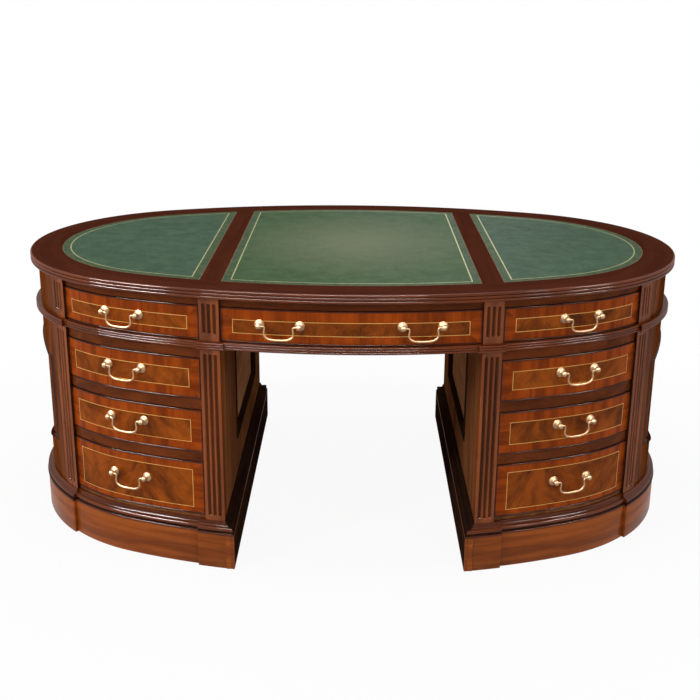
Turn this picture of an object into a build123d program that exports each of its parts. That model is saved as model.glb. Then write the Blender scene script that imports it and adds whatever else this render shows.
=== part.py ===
from build123d import *
import math
import os

# Oval partners desk. Millimetres, +X to the right, +Y to the back, +Z up.
# The origin is on the floor under the middle of the top.

# The top is an oval of four tangent arcs, and every wall below follows it at some inset
top_length = 1902.0
top_depth = 1226.0
bow_rise = 80.0
desk_height = 785.0
top_thickness = 25.0
top_edge_depth = 12.0
reeds = 3
leather_border = 91.0
leather_thickness = 1.2
centre_leather_half = 339.0
cross_band_width = 57.0

# Insets of the upright faces from the top's outline
pilaster_inset = 18.0
end_inset = 21.0
drawer_inset = 27.0
rail_inset = 29.0
frame_back_inset = 60.0

# Frieze, from the top board down to the pedestals
frieze_rail_height = 24.0
frieze_drawer_height = 94.0
frieze_moulding_height = 19.5
frieze_moulding_projection = 12.0
frieze_floor_thickness = 10.0
divider_thickness = 25.0
stretcher_thickness = 20.0

# Pedestals, from the floor up
plinth_height = 98.0
plinth_moulding_height = 35.0
plinth_moulding_ledge = 8.5
plinth_moulding_depth = 27.0
bottom_rail_height = 9.5
lower_rail_height = 27.5
upper_rail_height = 29.0
top_rail_height = 29.5
lower_drawer_share = 0.3947
middle_drawer_share = 0.3109

# Knee hole and pilasters
knee_half_width = 338.0
plinth_knee_projection = 26.0
pilaster_width = 53.0
outer_pilaster_setback = 166.0
outer_pilaster_width = 44.0
frieze_moulding_return = 9.5
plinth_return = 22.5
flute_radius = 5.0
flute_depth = 4.2
flute_pitch = 14.5
flutes = 3
pilaster_flute_foot = 12.5
pilaster_flute_head = 14.5
block_flute_foot = 19.5
block_flute_head = 16.5

# Carcass boards
cheek_thickness = 22.0
knee_panel_thickness = 9.0
knee_panel_front = 226.0
knee_panel_back = 359.0
knee_panel_foot = 102.0
knee_panel_head = 72.5
board_thickness = 18.0
partition_thickness = 16.0
guide_panel_thickness = 14.0
end_panel_thickness = 22.0
rib_thickness = 15.0
ribs = 3
runner_width = 50.0
runner_thickness = 15.0
guide_height = 20.0
shelf_thickness = 15.0
shelf_setback = 40.0
shelf_bearer = 15.0
plinth_face_setback = 2.0
plinth_board_thickness = 22.0
plinth_bearers = 2
plinth_bearer_thickness = 22.0

# Sunk field of each end panel: upright sides, small shoulders, and an arch above and below
end_field_half_width = 259.0
end_field_side_foot = 117.0
end_field_side_head = 122.5
end_field_shoulder = 30.0
end_field_rise = 50.0
end_field_depth = 7.0
end_bead_width = 14.0
end_bead_projection = 4.0

# Drawers and doors
gap = 1.0
front_thickness = 22.0
cockbead_width = 4.0
cockbead_projection = 2.5
drawer_side_gap = 3.0
drawer_side_thickness = 12.0
drawer_side_drop = 5.0
drawer_back_thickness = 10.0
drawer_bottom_thickness = 6.0
drawer_bottom_lift = 8.0
drawer_back_gap = 12.0

# Door hinges and knobs
hinge_gap = 3.0
hinge_leaf_thickness = 1.2
hinge_leaf_width = 30.0
hinge_knuckle_radius = 3.5
hinge_pin_radius = 1.5
hinge_length = 64.0
hinge_inset = 60.0
hinge_axis_inset = 1.5
hinge_axis_proud = 4.2
knuckle_gap = 0.4
knuckles = 3
knob_radius = 12.0
knob_stem_radius = 4.5
knob_stem_length = 12.0
knob_edge_distance = 26.0

# Swan-neck bail handles
post_spacing = 104.0
handle_stand_off = 17.0
rosette_radius = 13.0
rosette_thickness = 3.0
post_stem_radius = 4.5
post_ball_radius = 7.5
bail_radius = 2.6
bail_pin_reach = 3.0
bail_neck_half = 36.0
bail_shoulder_half = 40.5
bail_shoulder_drop = 25.0
bail_bar_half = 24.0
bail_drop = 35.0
bail_neck_bend = 4.0
bail_shoulder_bend = 8.0
bail_bar_bend = 14.0
handle_rise = 11.0
centre_handle_offset = 182.0
side_handle_shift = 17.0

# Running fits, and how far a cut runs past what it cuts
running_clearance = 0.05
overrun = 40.0

# Profile of the plinth moulding, as shares of its projection (out) and of its height (up).
# One point is a straight line to it, two are the middle and the end of an arc.
plinth_profile_shares = [
    [(0.14, 1.0)],
    [(0.14, 0.9)],
    [(0.26, 0.72), (0.66, 0.62)],
    [(0.88, 0.45), (0.66, 0.28)],
    [(0.87, 0.28)],
    [(0.87, 0.2)],
    [(1.0, 0.1), (0.87, 0.0)],
]

# Places worked out from the sizes above
half_length = top_length / 2
half_depth = top_depth / 2
beyond = half_length + overrun
end_radius = half_depth - bow_rise
end_centre = half_length - end_radius
bow_radius = (end_centre**2 + half_depth**2 - end_radius**2) / (2 * (half_depth - end_radius))
bow_centre = bow_radius - half_depth
junction = math.degrees(math.atan2(end_centre, bow_centre))

top_underside = desk_height - top_thickness
frieze_drawer_high = top_underside - frieze_rail_height
frieze_drawer_low = frieze_drawer_high - frieze_drawer_height
frieze_low = frieze_drawer_low - frieze_moulding_height
frieze_floor = frieze_low + frieze_floor_thickness

pedestal_low = plinth_height + plinth_moulding_height
lower_drawer_low = pedestal_low + bottom_rail_height
upper_drawer_high = frieze_low - top_rail_height
drawer_room = upper_drawer_high - lower_drawer_low - lower_rail_height - upper_rail_height
lower_drawer_high = lower_drawer_low + drawer_room * lower_drawer_share
middle_drawer_low = lower_drawer_high + lower_rail_height
middle_drawer_high = middle_drawer_low + drawer_room * middle_drawer_share
upper_drawer_low = middle_drawer_high + upper_rail_height
bottom_board_low = pedestal_low - plinth_moulding_ledge
top_board_low = frieze_low - board_thickness

plinth_knee_half_width = knee_half_width - plinth_knee_projection
pilaster_end = knee_half_width + pilaster_width
outer_pilaster_start = half_length - outer_pilaster_setback
outer_pilaster_end = outer_pilaster_start + outer_pilaster_width
end_panel_back = end_inset + end_panel_thickness
cheek_inside = knee_half_width + cheek_thickness
guide_panel_end = outer_pilaster_start + guide_panel_thickness
divider_start = knee_half_width + (pilaster_width - divider_thickness) / 2
divider_end = divider_start + divider_thickness
plinth_break = pilaster_end + plinth_return
plinth_step = drawer_inset - pilaster_inset
side_handle_x = (pilaster_end + outer_pilaster_start) / 2 + side_handle_shift
shelf_low = (lower_drawer_low + upper_drawer_high) / 2

drawer_levels = {
    "frieze": (frieze_drawer_low, frieze_drawer_high),
    "upper": (upper_drawer_low, upper_drawer_high),
    "middle": (middle_drawer_low, middle_drawer_high),
    "lower": (lower_drawer_low, lower_drawer_high),
}


def oval(inset):
    """Face inside the four-arc oval that runs at one inset from the top's outline."""
    bow = bow_radius - inset
    end = end_radius - inset
    end_turn = 180 - 2 * junction
    right = CenterArc((end_centre, 0), end, junction - 90, end_turn)
    back = CenterArc((0, -bow_centre), bow, 90 - junction, 2 * junction)
    left = CenterArc((-end_centre, 0), end, 90 + junction, end_turn)
    front = CenterArc((0, bow_centre), bow, 270 - junction, 2 * junction)
    return make_face([right, back, left, front])


def slab(inset, low, high):
    """Solid oval between two heights."""
    return Pos(0, 0, low) * extrude(oval(inset), high - low, dir=(0, 0, 1))


def shell(outer, inner, low, high):
    """Upright wall that follows the oval between two insets."""
    return slab(outer, low, high) - slab(inner, low, high)


def block(x_low, x_high, y_low, y_high, low, high):
    """Square-edged board, given by its six faces."""
    size = (x_high - x_low, y_high - y_low, high - low)
    return Pos(x_low, y_low, low) * Box(*size, align=(Align.MIN, Align.MIN, Align.MIN))


def between(x_low, x_high, shape):
    """What lies between two upright planes across the desk."""
    return shape & block(x_low, x_high, -beyond, beyond, -overrun, desk_height + overrun)


def at_front(x_low, x_high, shape):
    """The front half of what lies between two upright planes."""
    return shape & block(x_low, x_high, -beyond, 0, -overrun, desk_height + overrun)


def to_left(shape):
    return mirror(shape, about=Plane.YZ)


def to_back(shape):
    return mirror(shape, about=Plane.XZ)


def both_ends(shape):
    return [shape, to_left(shape)]


def both_sides(shape):
    return [shape, to_back(shape)]


def four_corners(shape):
    return both_ends(shape) + both_ends(to_back(shape))


def oval_point(angle, inset):
    """Point of the front where the wall's outward normal is turned by angle from straight ahead."""
    turn = math.radians(angle)
    if angle < junction:
        radius = bow_radius - inset
        return (radius * math.sin(turn), bow_centre - radius * math.cos(turn))
    radius = end_radius - inset
    return (end_centre + radius * math.sin(turn), -radius * math.cos(turn))


def bow_angle(x, inset):
    return math.degrees(math.asin(x / (bow_radius - inset)))


def end_angle(x, inset):
    return math.degrees(math.asin((x - end_centre) / (end_radius - inset)))


def front_angle(x, inset):
    """Turn of the front's outward normal at x, on the bow or on the end."""
    if x < (bow_radius - inset) * math.sin(math.radians(junction)):
        return bow_angle(x, inset)
    return end_angle(x, inset)


# The mouldings and plinths step forward at this angle, under the outer pilasters' edges
end_break = end_angle(outer_pilaster_start, pilaster_inset)


def around(profile, inset):
    """Moulding round the whole oval, outermost at inset. The profile is drawn for each arc's radius."""
    end_turn = 180 - 2 * junction
    arcs = [
        (end_centre, 0, end_radius, junction - 90, end_turn),
        (0, -bow_centre, bow_radius, 90 - junction, 2 * junction),
        (-end_centre, 0, end_radius, 90 + junction, end_turn),
        (0, bow_centre, bow_radius, 270 - junction, 2 * junction),
    ]
    ring = Part()
    for x, y, radius, start, turn in arcs:
        stretch = revolve(Plane.XZ * profile(radius - inset), Axis.Z, turn)
        ring += Pos(x, y, 0) * Rot(0, 0, start) * stretch
    return ring


def stretch(profile, inset, start, end):
    """Length of moulding on the right, between two angles of the wall's outward normal."""
    arcs = [
        (0, bow_centre, bow_radius, start, min(end, junction)),
        (end_centre, 0, end_radius, max(start, junction), end),
    ]
    length = Part()
    for x, y, radius, begin, finish in arcs:
        if begin < finish:
            bend = revolve(Plane.XZ * profile(radius - inset), Axis.Z, finish - begin)
            length += Pos(x, y, 0) * Rot(0, 0, begin - 90) * bend
    return length


def prism(points, low, high):
    """Upright piece over a straight-sided outline in plan."""
    return Pos(0, 0, low) * extrude(make_face(Polyline(*points, close=True)), high - low, dir=(0, 0, 1))


def reeded(low, high, depth):
    """Profile of a band whose outer side is a stack of half-round reeds."""
    reed = (high - low) / reeds

    def profile(radius):
        base = radius - reed / 2
        back = radius - depth
        lines = [
            Line((base, low), (back, low)),
            Line((back, low), (back, high)),
            Line((back, high), (base, high)),
        ]
        for number in range(reeds):
            top = high - number * reed
            middle = (radius, top - reed / 2)
            lines.append(ThreePointArc((base, top), middle, (base, top - reed)))
        return make_face(lines)

    return profile


def plinth_edge(face, projection):
    """Lines and arcs of the plinth moulding, out and down from the pedestal's face."""

    def place(share):
        out_share, up_share = share
        return (face + out_share * projection, plinth_height + up_share * plinth_moulding_height)

    edges = []
    here = (face, pedestal_low)
    for step in plinth_profile_shares:
        there = place(step[-1])
        if len(step) == 1:
            edges.append(Line(here, there))
        else:
            edges.append(ThreePointArc(here, place(step[0]), there))
        here = there
    return edges, here


def plinth_section(face, projection, seat, back):
    """Section of the plinth moulding, with a rebate at its back for the bottom board."""
    edges, foot = plinth_edge(face, projection)
    inside = [
        foot,
        (back, plinth_height),
        (back, bottom_board_low),
        (seat, bottom_board_low),
        (seat, pedestal_low),
    ]
    if seat != face:
        inside.append((face, pedestal_low))
    edges += Polyline(*inside).edges()
    return make_face(edges)


def flute(low, high):
    """Round-ended cutter for one flute, standing on the origin's axis."""
    edges = [
        CenterArc((0, low + flute_radius), flute_radius, -90, 90),
        Line((flute_radius, low + flute_radius), (flute_radius, high - flute_radius)),
        CenterArc((0, high - flute_radius), flute_radius, 0, 90),
        Line((0, high), (0, low)),
    ]
    return revolve(Plane.XZ * make_face(edges), Axis.Z, 360)


def fluted(shape, angle, low, high):
    """Cuts the flutes side by side into a pilaster, about the one at angle."""
    cutter = flute(low, high)
    cutter_inset = pilaster_inset - flute_radius + flute_depth
    radius = (bow_radius if angle < junction else end_radius) - pilaster_inset
    step = math.degrees(flute_pitch / radius)
    for number in range(flutes):
        turn = angle + (number - (flutes - 1) / 2) * step
        x, y = oval_point(turn, cutter_inset)
        shape -= Pos(x, y, 0) * cutter
    return shape


def pilaster_pair(low, high, foot, head):
    """Right front pilasters: the one at the knee hole and the one at the end."""
    wall = shell(pilaster_inset, frame_back_inset, low, high)
    inner = at_front(knee_half_width, pilaster_end, wall)
    outer = at_front(outer_pilaster_start, outer_pilaster_end, wall)
    inner_angle = bow_angle((knee_half_width + pilaster_end) / 2, pilaster_inset)
    outer_angle = end_angle((outer_pilaster_start + outer_pilaster_end) / 2, pilaster_inset)
    inner = fluted(inner, inner_angle, low + foot, high - head)
    outer = fluted(outer, outer_angle, low + foot, high - head)
    return inner, outer


def write(name, shapes):
    """One STEP file for one named sub-part, each piece in it a solid of its own."""
    solids = [solid for shape in shapes for solid in shape.solids()]
    export_step(Compound(children=solids), f"parts/{name}.step")


# Top board with a reeded edge and three let-in writing leathers
def leather_fields(low, high):
    ground = slab(leather_border, low, high)
    side_start = centre_leather_half + cross_band_width
    centre = between(-centre_leather_half, centre_leather_half, ground)
    side = between(side_start, beyond, ground)
    return centre, side


def top_pieces():
    edge = around(reeded(top_underside, desk_height, top_edge_depth), 0)
    board = edge + slab(top_edge_depth, top_underside, desk_height)
    leather_low = desk_height - leather_thickness
    centre_cut, side_cut = leather_fields(leather_low, desk_height + overrun)
    for field in [centre_cut] + both_ends(side_cut):
        board -= field
    centre, side = leather_fields(leather_low, desk_height)
    write("top_board", [board])
    write("centre_leather", [centre])
    write("side_leathers", both_ends(side))


# Frieze: the top's own case, with three drawers on each long side
def frieze_moulding():
    """Reeded moulding under the drawers. It steps forward under the blocks and round the ends."""
    wide_inset = pilaster_inset - frieze_moulding_projection
    narrow_inset = drawer_inset - frieze_moulding_projection

    def run(inset, start, end):
        depth = rail_inset - inset
        return stretch(reeded(frieze_low, frieze_drawer_low, depth), inset, start, end)

    block_start = bow_angle(knee_half_width - frieze_moulding_return, wide_inset)
    block_end = bow_angle(pilaster_end + frieze_moulding_return, wide_inset)
    centre = run(narrow_inset, -block_start, block_start)
    under_block = run(wide_inset, block_start, block_end)
    side = run(narrow_inset, block_end, end_break)
    end = run(wide_inset, end_break, 180 - end_break)
    pieces = both_sides(centre) + four_corners(under_block) + four_corners(side) + both_ends(end)
    write("frieze_moulding", pieces)


def frieze_carcass():
    pieces = [slab(frame_back_inset, frieze_low, frieze_floor)]
    bottom_rail = shell(rail_inset, frame_back_inset, frieze_low, frieze_drawer_low)
    pieces += both_sides(at_front(-outer_pilaster_end, outer_pilaster_end, bottom_rail))
    pieces += both_ends(between(outer_pilaster_end, beyond, bottom_rail))
    top_rail = shell(rail_inset, frame_back_inset, frieze_drawer_high, top_underside)
    pieces += both_sides(at_front(-knee_half_width, knee_half_width, top_rail))
    pieces += four_corners(at_front(pilaster_end, outer_pilaster_start, top_rail))

    inside = slab(frame_back_inset, frieze_floor, top_underside)
    divider = between(divider_start, divider_end, inside)
    pieces += both_ends(divider)
    guide_panel = between(outer_pilaster_start, guide_panel_end, inside)
    pieces += both_ends(guide_panel)

    half = stretcher_thickness / 2
    middle = block(-divider_start, divider_start, -half, half, frieze_floor, top_underside)
    pieces.append(middle)
    side = block(divider_end, outer_pilaster_start, -half, half, frieze_floor, top_underside)
    pieces += both_ends(side)

    # Runners carry the drawers' sides, guides keep them straight and kickers keep them level
    edges = [
        (divider_start - runner_width, divider_start),
        (divider_end, divider_end + runner_width),
        (outer_pilaster_start - runner_width, outer_pilaster_start),
    ]
    for start, end in edges:
        for low, high in ((frieze_floor, frieze_drawer_low), (frieze_drawer_high, top_underside)):
            strip = block(start, end, -beyond, -half, low, high) & inside
            pieces += four_corners(strip)
    for start, end in ((knee_half_width, divider_start), (divider_end, pilaster_end)):
        guide = block(start, end, -beyond, -half, frieze_drawer_low, frieze_drawer_low + guide_height)
        pieces += four_corners(guide & inside)
    write("frieze_carcass", pieces)


def frieze_ends_and_blocks():
    wall = shell(end_inset, end_panel_back, frieze_drawer_low, top_underside)
    end = between(outer_pilaster_end, beyond, wall)
    write("frieze_end_panels", both_ends(end))
    inner, outer = pilaster_pair(frieze_drawer_low, top_underside, block_flute_foot, block_flute_head)
    write("frieze_blocks", four_corners(inner) + four_corners(outer))


# Pedestals, made for the right and mirrored to the left
def end_field(grow, x_low, x_high):
    """Cutter for the end panel's field, with shoulders and two arches, grown by an even margin."""
    half = end_field_half_width + grow
    neck = end_field_half_width - end_field_shoulder + grow
    side_low = pedestal_low + end_field_side_foot - grow
    side_high = frieze_low - end_field_side_head + grow
    outline = [
        Line((-half, side_low), (-half, side_high)),
        Line((-half, side_high), (-neck, side_high)),
        ThreePointArc((-neck, side_high), (0, side_high + end_field_rise), (neck, side_high)),
        Line((neck, side_high), (half, side_high)),
        Line((half, side_high), (half, side_low)),
        Line((half, side_low), (neck, side_low)),
        ThreePointArc((neck, side_low), (0, side_low - end_field_rise), (-neck, side_low)),
        Line((-neck, side_low), (-half, side_low)),
    ]
    return Pos(x_low, 0, 0) * extrude(Plane.YZ * make_face(outline), x_high - x_low, dir=(1, 0, 0))


def end_panel():
    """Curved end of a pedestal, with its sunk field."""
    wall = shell(end_inset, end_panel_back, pedestal_low, frieze_low)
    panel = between(outer_pilaster_end, beyond, wall)
    sunk = end_field(0, 0, beyond) - slab(end_inset + end_field_depth, 0, desk_height)
    return panel - sunk


def end_bead():
    """Raised moulding round the sunk field, bent to the end panel."""
    frame = end_field(end_bead_width / 2, 0, beyond) - end_field(-end_bead_width / 2, 0, beyond)
    proud = shell(end_inset - end_bead_projection, end_inset + end_field_depth, 0, desk_height)
    return (frame & proud) - end_panel()


def pedestal_carcass(pilasters, panel):
    inside = slab(frame_back_inset, 0, desk_height)
    pieces = []

    cheek = block(knee_half_width, cheek_inside, -beyond, beyond, lower_drawer_low, frieze_low) & inside
    panel_low = pedestal_low + knee_panel_foot
    panel_high = frieze_low - knee_panel_head
    panel_face = cheek_inside - knee_panel_thickness
    cheek -= block(0, beyond, -knee_panel_front, knee_panel_back, panel_low, panel_high)
    pieces.append(cheek)
    pieces.append(
        block(panel_face, cheek_inside, -knee_panel_front, knee_panel_back, panel_low, panel_high)
    )

    bottom = between(knee_half_width, beyond, slab(rail_inset, bottom_board_low, lower_drawer_low))
    for piece in pilasters + [panel]:
        bottom -= piece
    pieces.append(bottom)
    top = block(cheek_inside, outer_pilaster_start, -beyond, beyond, top_board_low, frieze_low)
    pieces.append(top & inside)

    half = partition_thickness / 2
    partition = block(
        cheek_inside, outer_pilaster_start, -half, half, lower_drawer_low, top_board_low
    )
    pieces.append(partition)
    guide_panel = block(
        outer_pilaster_start, guide_panel_end, -beyond, beyond, lower_drawer_low, frieze_low
    )
    pieces.append(guide_panel & inside)

    # Half-round ribs stiffen the curved end from inside
    rib_step = (frieze_low - rib_thickness - lower_drawer_low) / (ribs - 1)
    for number in range(ribs):
        low = lower_drawer_low + number * rib_step
        rib = between(guide_panel_end, beyond, slab(end_panel_back, low, low + rib_thickness))
        for piece in pilasters:
            rib -= piece
        pieces.append(rib)

    # Cleats under the cupboard's shelf
    for start in (cheek_inside, outer_pilaster_start - shelf_bearer):
        cleat = block(start, start + shelf_bearer, half, beyond, shelf_low - shelf_bearer, shelf_low)
        pieces.append(cleat & slab(frame_back_inset + shelf_setback, 0, desk_height))
    return pieces


def pedestal_rails():
    """Rails between the drawers and over the door, with the drawers' runners and guides."""
    inside = slab(frame_back_inset, 0, desk_height)
    wall = slab(rail_inset, 0, desk_height) - inside
    half = partition_thickness / 2
    top_rail = at_front(pilaster_end, outer_pilaster_start, wall)
    top_rail &= block(0, beyond, -beyond, 0, upper_drawer_high, frieze_low)
    pieces = both_sides(top_rail)
    for low, high in ((lower_drawer_high, middle_drawer_low), (middle_drawer_high, upper_drawer_low)):
        rail = at_front(pilaster_end, outer_pilaster_start, wall)
        pieces.append(rail & block(0, beyond, -beyond, 0, low, high))
        for start in (cheek_inside, outer_pilaster_start - runner_width):
            end = start + runner_width
            runner = block(start, end, -beyond, -half, high - runner_thickness, high)
            pieces.append(runner & inside)
    for level in (lower_drawer_low, middle_drawer_low, upper_drawer_low):
        guide = block(cheek_inside, pilaster_end, -beyond, -half, level, level + guide_height)
        pieces.append(guide & inside)
    return pieces


def sector(x, y, start, end):
    """Everything outwards of a point in plan, between two angles of the outward normal."""
    reach = bow_radius + half_length
    outline = [(x, y)]
    for angle in (start, end):
        turn = math.radians(angle)
        outline.append((x + reach * math.sin(turn), y - reach * math.cos(turn)))
    return prism(outline, -overrun, desk_height)


def plinth_boards():
    """Boards of one plinth. They stand back under the drawers and come forward elsewhere."""
    end_back = plinth_face_setback + plinth_board_thickness
    side_back = plinth_step + end_back
    hollow = slab(side_back, 0, plinth_height)
    end_side = sector(end_centre, 0, end_break, 180 - end_break)
    block_front = at_front(
        plinth_knee_half_width, plinth_break, shell(plinth_face_setback, side_back, 0, plinth_height)
    )
    side_wall = shell(plinth_step + plinth_face_setback, side_back, 0, plinth_height)
    side_front = at_front(plinth_break, beyond, side_wall) - end_side
    pieces = both_sides(block_front + side_front)
    pieces.append(shell(plinth_face_setback, end_back, 0, plinth_height) & end_side)
    knee_end = plinth_knee_half_width + plinth_board_thickness
    pieces.append(between(plinth_knee_half_width, knee_end, hollow))
    hollow_end = half_length - side_back
    bearer_room = hollow_end - knee_end - plinth_bearers * plinth_bearer_thickness
    bearer_step = bearer_room / (plinth_bearers + 1) + plinth_bearer_thickness
    for number in range(plinth_bearers):
        start = knee_end + (number + 1) * bearer_step - plinth_bearer_thickness
        pieces.append(between(start, start + plinth_bearer_thickness, hollow))
    return pieces


def plinth_mouldings():
    """Moulded cap of one plinth, in lengths that meet at mitres and breaks."""
    depth = pilaster_inset + plinth_moulding_depth

    def run(inset, start, end):
        def section(radius):
            return plinth_section(
                radius - pilaster_inset, pilaster_inset, radius + inset - rail_inset, radius - depth
            )

        return stretch(section, inset, start, end)

    # Mitre line at the knee hole's corner, run past the moulding both ways
    corner_angle = bow_angle(plinth_knee_half_width, 0)
    outer = oval_point(corner_angle, 0)
    inner = oval_point(bow_angle(knee_half_width, pilaster_inset), pilaster_inset)
    slope = (inner[1] - outer[1]) / (inner[0] - outer[0])
    low_x = plinth_knee_half_width - overrun
    high_x = cheek_inside + overrun
    low_y = outer[1] - slope * overrun
    high_y = outer[1] + slope * (high_x - plinth_knee_half_width)
    corner = [(low_x, low_y), (high_x, high_y), (high_x, -high_y), (low_x, -low_y)]
    knee_side = prism(corner, plinth_height - overrun, pedestal_low + overrun)
    knee = plinth_section(-knee_half_width, plinth_knee_projection, -knee_half_width, -cheek_inside)
    knee = to_left(extrude(Plane.XZ * knee, beyond, both=True)) & knee_side

    # The short length under the inner pilaster is straight, square to the middle of its stretch
    front_break = bow_angle(plinth_break, plinth_face_setback)
    middle = (corner_angle + front_break) / 2
    x, y = oval_point(middle, 0)
    block_front = plinth_section(-pilaster_inset, pilaster_inset, -rail_inset, -depth)
    reach = (plinth_break - plinth_knee_half_width) / 2 + plinth_moulding_depth
    block_front = extrude(Plane.XZ * block_front, reach, both=True)
    block_front = Pos(x, y, 0) * Rot(0, 0, middle - 90) * block_front
    block_front &= sector(0, bow_centre, 0, front_break)
    block_front -= knee_side

    side_front = run(plinth_step, front_break, end_break)
    end = run(0, end_break, 180 - end_break)
    return both_sides(block_front) + both_sides(side_front) + [end, knee]


def pedestals():
    inner, outer = pilaster_pair(pedestal_low, frieze_low, pilaster_flute_foot, pilaster_flute_head)
    pilasters = both_sides(inner) + both_sides(outer)
    panel = end_panel()
    carcass = pedestal_carcass(pilasters, panel)
    shelf = block(cheek_inside, outer_pilaster_start, partition_thickness / 2, beyond,
                  shelf_low, shelf_low + shelf_thickness)
    shelf &= slab(frame_back_inset + shelf_setback, 0, desk_height)
    write("right_pedestal_carcass", carcass)
    write("left_pedestal_carcass", [to_left(piece) for piece in carcass])
    write("right_end_panel", [panel])
    write("left_end_panel", [to_left(panel)])
    write("end_panel_beads", both_ends(end_bead()))
    write("pedestal_pilasters", four_corners(inner) + four_corners(outer))
    write("drawer_rails", [copy for piece in pedestal_rails() for copy in both_ends(piece)])
    write("plinth_boards", [copy for piece in plinth_boards() for copy in both_ends(piece)])
    mouldings = plinth_mouldings()
    write("plinth_mouldings", [copy for piece in mouldings for copy in both_ends(piece)])
    write("cupboard_shelves", both_ends(shelf))


# Drawers
def bowed_front(x_low, x_high, low, high, thickness):
    """Bowed front with a rounded bead standing proud round its edge."""
    face = shell(drawer_inset - cockbead_projection, drawer_inset + thickness, low, high)
    front = at_front(x_low, x_high, face)
    window = shell(-overrun, drawer_inset, low + cockbead_width, high - cockbead_width)
    front -= at_front(x_low + cockbead_width, x_high - cockbead_width, window)
    return front


def drawer(x_low, x_high, low, high):
    """Front, two sides, back and bottom. The sides run on from the bowed front's inner face."""
    front = bowed_front(x_low + gap, x_high - gap, low + gap, high - gap, front_thickness)
    box_low = low + gap
    box_high = high - drawer_side_drop
    behind = slab(drawer_inset + front_thickness, 0, desk_height)
    back_face = -drawer_back_gap - stretcher_thickness / 2
    outer_low = x_low + drawer_side_gap
    outer_high = x_high - drawer_side_gap
    inner_low = outer_low + drawer_side_thickness
    inner_high = outer_high - drawer_side_thickness
    side_low = block(outer_low, inner_low, -beyond, back_face, box_low, box_high) & behind
    side_high = block(inner_high, outer_high, -beyond, back_face, box_low, box_high) & behind
    back_front = back_face - drawer_back_thickness
    bottom_low = box_low + drawer_bottom_lift
    bottom_high = bottom_low + drawer_bottom_thickness
    back = block(inner_low, inner_high, back_front, back_face, box_low, box_high)
    bottom = block(inner_low, inner_high, -beyond, back_front, bottom_low, bottom_high) & behind
    return [front, side_low, side_high, back, bottom]


# Handles, made in their own frame: x along the drawer front, -y outwards, z up from the pivot
def handle_posts():
    """Two turned posts, each a rosette, a stem and a ball bored for the bail's end."""
    half = post_spacing / 2
    seat = front_thickness / 2
    rosette_depth = rosette_thickness + seat
    posts = []
    for side in (-1, 1):
        rosette = Pos(0, seat, 0) * Rot(90, 0, 0) * Cylinder(
            rosette_radius, rosette_depth, align=(Align.CENTER, Align.CENTER, Align.MIN))
        stem = Rot(90, 0, 0) * Cylinder(
            post_stem_radius, handle_stand_off, align=(Align.CENTER, Align.CENTER, Align.MIN))
        ball = Pos(0, -handle_stand_off, 0) * Rot(0, 0, -90) * Sphere(post_ball_radius)
        bore_length = bail_pin_reach + post_ball_radius + overrun
        bore = Rot(0, -90 * side, 0) * Cylinder(
            bail_radius + running_clearance, bore_length, align=(Align.CENTER, Align.CENTER, Align.MIN))
        bore_start = side * (bail_pin_reach + running_clearance)
        post = rosette + stem + ball - Pos(bore_start, -handle_stand_off, 0) * bore
        posts.append(Pos(side * half, 0, 0) * post)
    return posts


def bail():
    """Swan-neck bail hanging in front of the drawer, its ends turned in to the posts."""
    half = post_spacing / 2 + bail_pin_reach
    right = [
        (bail_bar_half, 0, -bail_drop),
        (bail_shoulder_half, 0, -bail_shoulder_drop),
        (bail_neck_half, 0, 0),
        (half, 0, 0),
    ]
    left = [(-x, y, z) for x, y, z in reversed(right)]
    bends = [bail_neck_bend, bail_shoulder_bend, bail_bar_bend]
    path = FilletPolyline(*left, *right, radius=bends + bends[::-1])
    section = Plane(origin=(-half, 0, 0), z_dir=(1, 0, 0)) * Circle(bail_radius)
    return Pos(0, -handle_stand_off, 0) * sweep(section, path=path)


def handle_place(angle, height):
    x, y = oval_point(angle, drawer_inset)
    return Pos(x, y, height) * Rot(0, 0, angle)


def seated_posts(angle, height):
    """Posts set on the bowed front: their backs follow its curve."""
    wood = slab(drawer_inset, height - post_spacing, height + post_spacing)
    return [handle_place(angle, height) * post - wood for post in handle_posts()]


def frieze_centre_drawers():
    low, high = drawer_levels["frieze"]
    height = (low + high) / 2 + handle_rise / 2
    angle = bow_angle(centre_handle_offset, drawer_inset)
    pieces = drawer(-knee_half_width, knee_half_width, low, high)
    posts = seated_posts(angle, height)
    posts += [to_left(post) for post in posts]
    right_bail = handle_place(angle, height) * bail()
    left_bail = to_left(right_bail)
    write("front_centre_frieze_drawer", pieces)
    write("front_centre_frieze_posts", posts)
    write("front_centre_frieze_bail_right", [right_bail])
    write("front_centre_frieze_bail_left", [left_bail])
    write("back_centre_frieze_drawer", [to_back(piece) for piece in pieces])
    write("back_centre_frieze_posts", [to_back(post) for post in posts])
    write("back_centre_frieze_bail_right", [to_back(right_bail)])
    write("back_centre_frieze_bail_left", [to_back(left_bail)])


def side_drawers():
    """Drawers beside the knee hole: four down each front corner, one in each back corner."""
    angle = front_angle(side_handle_x, drawer_inset)
    for level, (low, high) in drawer_levels.items():
        rise = handle_rise / 2 if level == "frieze" else handle_rise
        height = (low + high) / 2 + rise
        pieces = drawer(pilaster_end, outer_pilaster_start, low, high)
        posts = seated_posts(angle, height)
        ring = [handle_place(angle, height) * bail()]
        for part, shapes in (("drawer", pieces), ("posts", posts), ("bail", ring)):
            write(f"front_right_{level}_{part}", shapes)
            write(f"front_left_{level}_{part}", [to_left(shape) for shape in shapes])
            if level == "frieze":
                back = [to_back(shape) for shape in shapes]
                write(f"back_right_{level}_{part}", back)
                write(f"back_left_{level}_{part}", [to_left(shape) for shape in back])


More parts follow.
